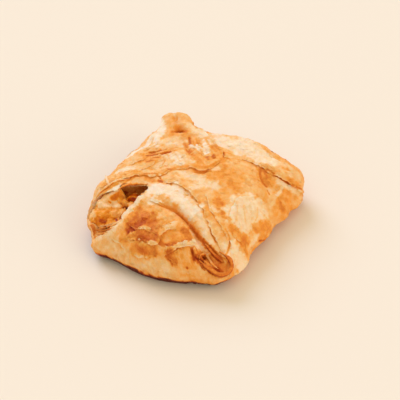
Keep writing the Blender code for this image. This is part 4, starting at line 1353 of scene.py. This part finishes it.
def rolled_rim(pixels, radius, inside):
    """A bar of dough along a route: thick in the middle, tapered at both ends and a little uneven."""
    curve = smooth_route(pixels, RIM_SPACING)
    line = in_mouth(curve) if inside else on_dough(curve)
    shape_of = opened_distance if inside else dough_distance
    height = RIM_RISE * radius + (0.0 if inside else 1.0) * relief(line)
    line = line + gradient(line, shape_of) * height[:, None]
    line[1:-1] = (line[:-2] + 2.0 * line[1:-1] + line[2:]) / 4.0
    along = np.linspace(0.0, 1.0, len(line))
    taper = 0.25 + 0.75 * step(along, 0.0, 0.25) * step(1.0 - along, 0.0, 0.25)
    thick = radius * taper * (1.0 + 0.25 * grain(line, 3.0, seed=20))
    path = bpy.data.curves.new("rim", "CURVE")
    path.dimensions = "3D"
    path.bevel_depth = MM
    path.bevel_resolution = RIM_SIDES
    path.use_fill_caps = True
    spline = path.splines.new("POLY")
    spline.points.add(len(line) - 1)
    spots = (line + PLAN_SHIFT) * MM
    spline.points.foreach_set("co", np.column_stack([spots, np.ones(len(line))]).ravel())
    spline.points.foreach_set("radius", thick)
    holder = bpy.data.objects.new("rim", path)
    bpy.context.scene.collection.objects.link(holder)
    graph = bpy.context.evaluated_depsgraph_get()
    mesh = bpy.data.meshes.new_from_object(holder.evaluated_get(graph))
    bpy.data.objects.remove(holder)
    bpy.data.curves.remove(path)
    return mesh


def make_rims(settings, colours):
    """The curled front right tip, the rims of the open corner and the layers of its lower lip."""
    shape, bake_and_shade = bmesh.new(), []
    for pixels, radius, level, inside in ROLLED_RIMS.values():
        mesh = rolled_rim(pixels, radius, inside)
        shape.from_mesh(mesh)
        bake_and_shade.append(np.full(len(mesh.vertices), level))
        bpy.data.meshes.remove(mesh)
    rims = object_of(shape, "rims")
    points = places_of(rims.data)
    points += 0.25 * np.column_stack([grain(points, 1.6, seed=21 + axis, octaves=2) for axis in range(3)])
    place(rims.data, points)
    # Painted shade: each rim is painted darker on its underside, with an uneven random tone over all of it
    shaded_undersides = step(gradient(points, dough_distance)[:, 2] - normals_of(rims.data)[:, 2], 0.0, 0.9)
    shade = RIM_UNDERSIDE_SHADE * shaded_undersides + 0.12 * grain(points, 2.5, seed=24)
    give_attribute(rims.data, "bake_and_shade", np.concatenate(bake_and_shade) + shade)
    weld = rims.modifiers.new("weld", "WELD")
    weld.merge_threshold = 0.01 * MM
    apply_modifiers(rims)
    settle(rims, baked_pastry(colours), "crust")
    return rims


# Scattered flakes


def flake_nodes():
    """Geometry nodes that scatter thin, irregular flakes over a crust, each tilted a little."""
    tree = bpy.data.node_groups.new("loose flakes", "GeometryNodeTree")
    sockets = (("Crust", "INPUT", "NodeSocketGeometry"), ("Flakes per area", "INPUT", "NodeSocketFloat"),
               ("Radius", "INPUT", "NodeSocketFloat"), ("Thickness", "INPUT", "NodeSocketFloat"),
               ("Tilt", "INPUT", "NodeSocketFloat"), ("Seed", "INPUT", "NodeSocketInt"),
               ("Material", "INPUT", "NodeSocketMaterial"), ("Flakes", "OUTPUT", "NodeSocketGeometry"))
    for name, way, kind in sockets:
        tree.interface.new_socket(name, in_out=way, socket_type=kind)
    given = add(tree, "NodeGroupInput").outputs
    flaky = add(tree, "GeometryNodeInputNamedAttribute", {"data_type": "FLOAT", "Name": "flaky"})
    density = add(tree, "ShaderNodeMath", {"operation": "MULTIPLY"},
                  {0: flaky.outputs["Attribute"], 1: given["Flakes per area"]})
    spread = add(tree, "GeometryNodeDistributePointsOnFaces", {"distribute_method": "RANDOM"},
                 {"Mesh": given["Crust"], "Density": density.outputs[0], "Seed": given["Seed"]})
    disc = add(tree, "GeometryNodeMeshCylinder", {"Vertices": 10, "fill_type": "TRIANGLE_FAN"},
               {"Radius": given["Radius"], "Depth": given["Thickness"]})
    size = add(tree, "FunctionNodeRandomValue", {"data_type": "FLOAT_VECTOR", 0: (0.45, 0.35, 1.0),
                                                 1: (1.5, 1.1, 1.0)}, {"Seed": given["Seed"]})
    placed = add(tree, "GeometryNodeInstanceOnPoints", None,
                 {"Points": spread.outputs["Points"], "Instance": disc.outputs["Mesh"],
                  "Rotation": spread.outputs["Rotation"], "Scale": size.outputs[0]})
    lean = add(tree, "FunctionNodeRandomValue", {"data_type": "FLOAT_VECTOR", 0: (-1.0, -1.0, -20.0),
                                                 1: (1.0, 1.0, 20.0)}, {"Seed": given["Seed"]})
    leaning = add(tree, "ShaderNodeVectorMath", {"operation": "SCALE"},
                  {0: lean.outputs[0], "Scale": given["Tilt"]})
    tilted = add(tree, "GeometryNodeRotateInstances", None,
                 {"Instances": placed.outputs["Instances"], "Rotation": leaning.outputs[0]})
    real = add(tree, "GeometryNodeRealizeInstances", None, {"Geometry": tilted.outputs["Instances"]})
    # Each flake is torn to its own outline by noise of about its own size
    ragged = add(tree, "ShaderNodeTexNoise", {"Scale": 480.0, "Detail": 2.0})
    centred = add(tree, "ShaderNodeVectorMath", {"operation": "SUBTRACT", 1: (0.5, 0.5, 0.5)},
                  {0: ragged.outputs["Color"]})
    torn_by = add(tree, "ShaderNodeVectorMath", {"operation": "SCALE"},
                  {0: centred.outputs[0], "Scale": given["Radius"]})
    shaped = add(tree, "GeometryNodeSetPosition", None,
                 {"Geometry": real.outputs["Geometry"], "Offset": torn_by.outputs[0]})
    finished = add(tree, "GeometryNodeSetMaterial", None,
                   {"Geometry": shaped.outputs["Geometry"], "Material": given["Material"]})
    add(tree, "NodeGroupOutput", None, {0: finished.outputs["Geometry"]})
    return tree


def make_flakes(settings, colours):
    """Thin flakes scattered over the crust in patches, thickest on the front dome."""
    crust = bpy.data.objects["crust"]
    flakes = bpy.data.objects.new("flakes", crust.data.copy())
    bpy.context.scene.collection.objects.link(flakes)
    points = places_of(flakes.data)
    outside = np.abs(dough_distance(points)) < 6.0
    open_sides = step(-mouth_distance(points), -1.5, -0.5)
    rough = 0.35 + 0.65 * step(grain(points, 16.0, seed=19), 0.0, 0.3)
    front = fade(np.linalg.norm(points - FLAKY_MIDDLE, axis=1), FLAKY_REACH)
    flaky = (rough + front) * outside * (1.0 - open_sides) * step(points[:, 2], 4.0, 10.0)
    give_attribute(flakes.data, "flaky", flaky)
    tree = flake_nodes()
    scatter = flakes.modifiers.new("flakes", "NODES")
    scatter.node_group = tree
    values = {"Flakes per area": settings.flakes_per_area, "Radius": settings.flake_radius,
              "Thickness": settings.flake_thickness, "Tilt": settings.flake_tilt, "Seed": settings.seed,
              "Material": baked_pastry(colours)}
    for socket in tree.interface.items_tree:
        if socket.name in values:
            scatter[socket.identifier] = values[socket.name]
    apply_modifiers(flakes)
    place(flakes.data, places_of(flakes.data))
    settle(flakes, values["Material"], "crust")
    flakes.data.set_sharp_from_angle(angle=math.radians(50.0))
    return flakes


# The studio


def aim_at(thing, place_at, target):
    """Puts a light or camera at a place and points it at a target."""
    back = (Vector(place_at) - Vector(target)).normalized()
    thing.matrix_world = Matrix.Translation(place_at) @ back.to_track_quat("Z", "Y").to_matrix().to_4x4()


def make_stage(settings):
    """A pale floor, soft light from the upper left, and the camera at the photograph's angle."""
    board = bmesh.new()
    bmesh.ops.create_grid(board, x_segments=1, y_segments=1, size=settings.floor_size / 2)
    floor = object_of(board, "floor")
    floor.data.materials.append(plain_material("painted board, matt cream", settings.floor_colour, 0.9))
    aim = (VIEW_AIM + PLAN_SHIFT) * MM
    lights = (("key", KEY_FROM, settings.key_strength, settings.key_colour, settings.key_softness),
              ("fill", FILL_FROM, settings.fill_strength, settings.fill_colour, settings.fill_softness))
    for name, shines_from, strength, colour, softness in lights:
        light = bpy.data.lights.new(name, "SUN")
        light.angle = softness
        light.energy = strength
        light.color = colour
        lamp = bpy.data.objects.new(name, light)
        bpy.context.scene.collection.objects.link(lamp)
        aim_at(lamp, Vector(aim) + Vector(shines_from), Vector(aim))
    world = bpy.data.worlds.new("studio")
    bpy.context.scene.world = world
    world.use_nodes = True
    sky = world.node_tree.nodes["Background"].inputs
    sky["Color"].default_value = (*settings.room_colour, 1.0)
    sky["Strength"].default_value = settings.room_strength
    lens = bpy.data.cameras.new("camera")
    lens.sensor_width = SENSOR
    lens.lens = SENSOR * LENS_PIXELS / FRAME_PIXELS
    lens.shift_x = (FRAME_PIXELS / 2 - AIM_PIXEL) / FRAME_PIXELS
    lens.shift_y = -(FRAME_PIXELS / 2 - AIM_PIXEL) / FRAME_PIXELS
    lens.clip_start = 0.01
    camera = bpy.data.objects.new("camera", lens)
    bpy.context.scene.collection.objects.link(camera)
    aim_at(camera, Vector(aim + VIEW_BACK * VIEW_DISTANCE * MM), Vector(aim))
    bpy.context.scene.camera = camera
    bpy.context.scene.view_settings.view_transform = "Standard"


# The add-on


def colour_property(name, hex_colour, description):
    """A colour that a user may change, with its default written as sRGB hex."""
    return FloatVectorProperty(name=name, description=description, subtype="COLOR", size=3, min=0.0,
                               max=1.0, default=linear(hex_colour))


class KhachapuriColours(bpy.types.PropertyGroup):
    """The colours of dough and cheese from raw to scorched"""
    raw: colour_property("Raw", "#feebd2", "Dough that has hardly coloured")
    cream: colour_property("Cream", "#fcdcb5", "Dough that is baked through but pale")
    straw: colour_property("Straw", "#f9c17d", "The first colour of the egg wash")
    gold: colour_property("Gold", "#f6a243", "Golden crust")
    amber: colour_property("Amber", "#e07e2c", "Well baked crust")
    brown: colour_property("Brown", "#c25512", "Browned blisters and rims")
    russet: colour_property("Russet", "#98300a", "Dark brown folds")
    scorched: colour_property("Scorched", "#4e1405", "Burnt specks")


class KhachapuriCrust(bpy.types.PropertyGroup):
    """How finely the dough is made"""
    cells_across: IntProperty(name="Cells across", default=158, min=20, max=200,
                              description="How many cells the crust has along each side")
    cells_up: IntProperty(name="Cells up", default=42, min=8, max=60,
                          description="How many cells the crust's sides have from bottom to top")
    curd_cells: IntProperty(name="Cheese cells", default=108, min=30, max=160,
                            description="How many cells the cheese has along its length")
    layer_thickness: FloatProperty(name="Layer thickness", default=0.4 * MM, min=0.1 * MM, max=1.0 * MM,
                                   subtype="DISTANCE", unit="LENGTH", precision=5,
                                   description="How thick one thin layer of the dough is")


class KhachapuriFlakes(bpy.types.PropertyGroup):
    """The thin flakes scattered over the crust"""
    flakes_per_area: FloatProperty(name="Flakes per area", default=24000.0, min=0.0, max=100000.0,
                                   description="Flakes on each square metre of the flakiest crust")
    flake_radius: FloatProperty(name="Flake radius", default=1.3 * MM, min=0.2 * MM, max=6.0 * MM,
                                subtype="DISTANCE", unit="LENGTH", precision=5,
                                description="Radius of a middling flake")
    flake_thickness: FloatProperty(name="Flake thickness", default=0.26 * MM, min=0.1 * MM,
                                   max=1.0 * MM, subtype="DISTANCE", unit="LENGTH", precision=5,
                                   description="How thick a flake is")
    flake_tilt: FloatProperty(name="Flake tilt", default=math.radians(7.0), min=0.0,
                              max=math.radians(45.0), subtype="ANGLE",
                              description="The most that a flake leans out of the crust")
    seed: IntProperty(name="Seed", default=4, description="Which random scatter is used")


class KhachapuriStudio(bpy.types.PropertyGroup):
    """The floor and the light"""
    floor_size: FloatProperty(name="Floor size", default=6.0, min=0.5, subtype="DISTANCE", unit="LENGTH",
                              description="Side of the square floor")
    floor_colour: colour_property("Floor colour", "#f1e4d1", "Paint of the floor")
    key_colour: colour_property("Key colour", "#c9d6ff", "Colour of the main light")
    key_strength: FloatProperty(name="Key strength", default=1.95, min=0.0,
                                description="Power of the main light on each square metre")
    key_softness: FloatProperty(name="Key softness", default=math.radians(38.0), subtype="ANGLE",
                                description="How wide the main light looks from the floor")
    fill_colour: colour_property("Fill colour", "#ffe2ba", "Colour of the low light from the right")
    fill_strength: FloatProperty(name="Fill strength", default=0.75, min=0.0,
                                 description="Power of the low light on each square metre")
    fill_softness: FloatProperty(name="Fill softness", default=math.radians(50.0), subtype="ANGLE",
                                 description="How wide the low light looks from the floor")
    room_colour: colour_property("Room colour", "#fff9e6", "Colour of the light from all round")
    room_strength: FloatProperty(name="Room strength", default=0.77, min=0.0,
                                 description="Strength of the light from all round")


class KHACHAPURI_OT_crust(bpy.types.Operator):
    """Makes the folded, browned dough"""
    bl_idname = "khachapuri.crust"
    bl_label = "Crust"

    def execute(self, context):
        make_crust(context.scene.khachapuri_crust, context.scene.khachapuri_colours)
        return {"FINISHED"}


class KHACHAPURI_OT_filling(bpy.types.Operator):
    """Makes the browned cheese that shows at the open corner"""
    bl_idname = "khachapuri.filling"
    bl_label = "Filling"

    def execute(self, context):
        make_filling(context.scene.khachapuri_crust, context.scene.khachapuri_colours)
        return {"FINISHED"}


class KHACHAPURI_OT_layers(bpy.types.Operator):
    """Makes the thin torn layers along the flap edges"""
    bl_idname = "khachapuri.layers"
    bl_label = "Layers"

    def execute(self, context):
        make_layers(context.scene.khachapuri_crust, context.scene.khachapuri_colours)
        return {"FINISHED"}


class KHACHAPURI_OT_rims(bpy.types.Operator):
    """Makes the curled tip and the rolled rims of the open corner"""
    bl_idname = "khachapuri.rims"
    bl_label = "Rims"

    def execute(self, context):
        make_rims(context.scene.khachapuri_crust, context.scene.khachapuri_colours)
        return {"FINISHED"}


class KHACHAPURI_OT_flakes(bpy.types.Operator):
    """Scatters thin flakes over the crust"""
    bl_idname = "khachapuri.flakes"
    bl_label = "Flakes"

    def execute(self, context):
        make_flakes(context.scene.khachapuri_flakes, context.scene.khachapuri_colours)
        return {"FINISHED"}


class KHACHAPURI_OT_stage(bpy.types.Operator):
    """Makes the floor, the lights and the camera"""
    bl_idname = "khachapuri.stage"
    bl_label = "Studio"

    def execute(self, context):
        make_stage(context.scene.khachapuri_studio)
        return {"FINISHED"}


class KHACHAPURI_PT_panel(bpy.types.Panel):
    """Lists the steps that make the khachapuri, and its sizes and colours"""
    bl_idname = "KHACHAPURI_PT_panel"
    bl_label = "Khachapuri"
    bl_space_type = "VIEW_3D"
    bl_region_type = "UI"
    bl_category = "Khachapuri"

    def draw(self, context):
        for operator in OPERATORS:
            self.layout.operator(operator.bl_idname)
        for name, group in SETTINGS.items():
            box = self.layout.box()
            for setting in group.__annotations__:
                box.prop(getattr(context.scene, name), setting)


OPERATORS = (KHACHAPURI_OT_crust, KHACHAPURI_OT_filling, KHACHAPURI_OT_layers, KHACHAPURI_OT_rims,
             KHACHAPURI_OT_flakes, KHACHAPURI_OT_stage)
SETTINGS = {
    "khachapuri_colours": KhachapuriColours,
    "khachapuri_crust": KhachapuriCrust,
    "khachapuri_flakes": KhachapuriFlakes,
    "khachapuri_studio": KhachapuriStudio,
}
CLASSES = (*SETTINGS.values(), *OPERATORS, KHACHAPURI_PT_panel)


def register():
    for kind in CLASSES:
        bpy.utils.register_class(kind)
    for name, group in SETTINGS.items():
        setattr(bpy.types.Scene, name, PointerProperty(type=group))


def unregister():
    for name in SETTINGS:
        delattr(bpy.types.Scene, name)
    for kind in reversed(CLASSES):
        bpy.utils.unregister_class(kind)


def main():
    register()
    bpy.ops.khachapuri.crust()
    bpy.ops.khachapuri.filling()
    bpy.ops.khachapuri.layers()
    bpy.ops.khachapuri.rims()
    bpy.ops.khachapuri.flakes()
    bpy.ops.khachapuri.stage()


if __name__ == "__main__":
    main()
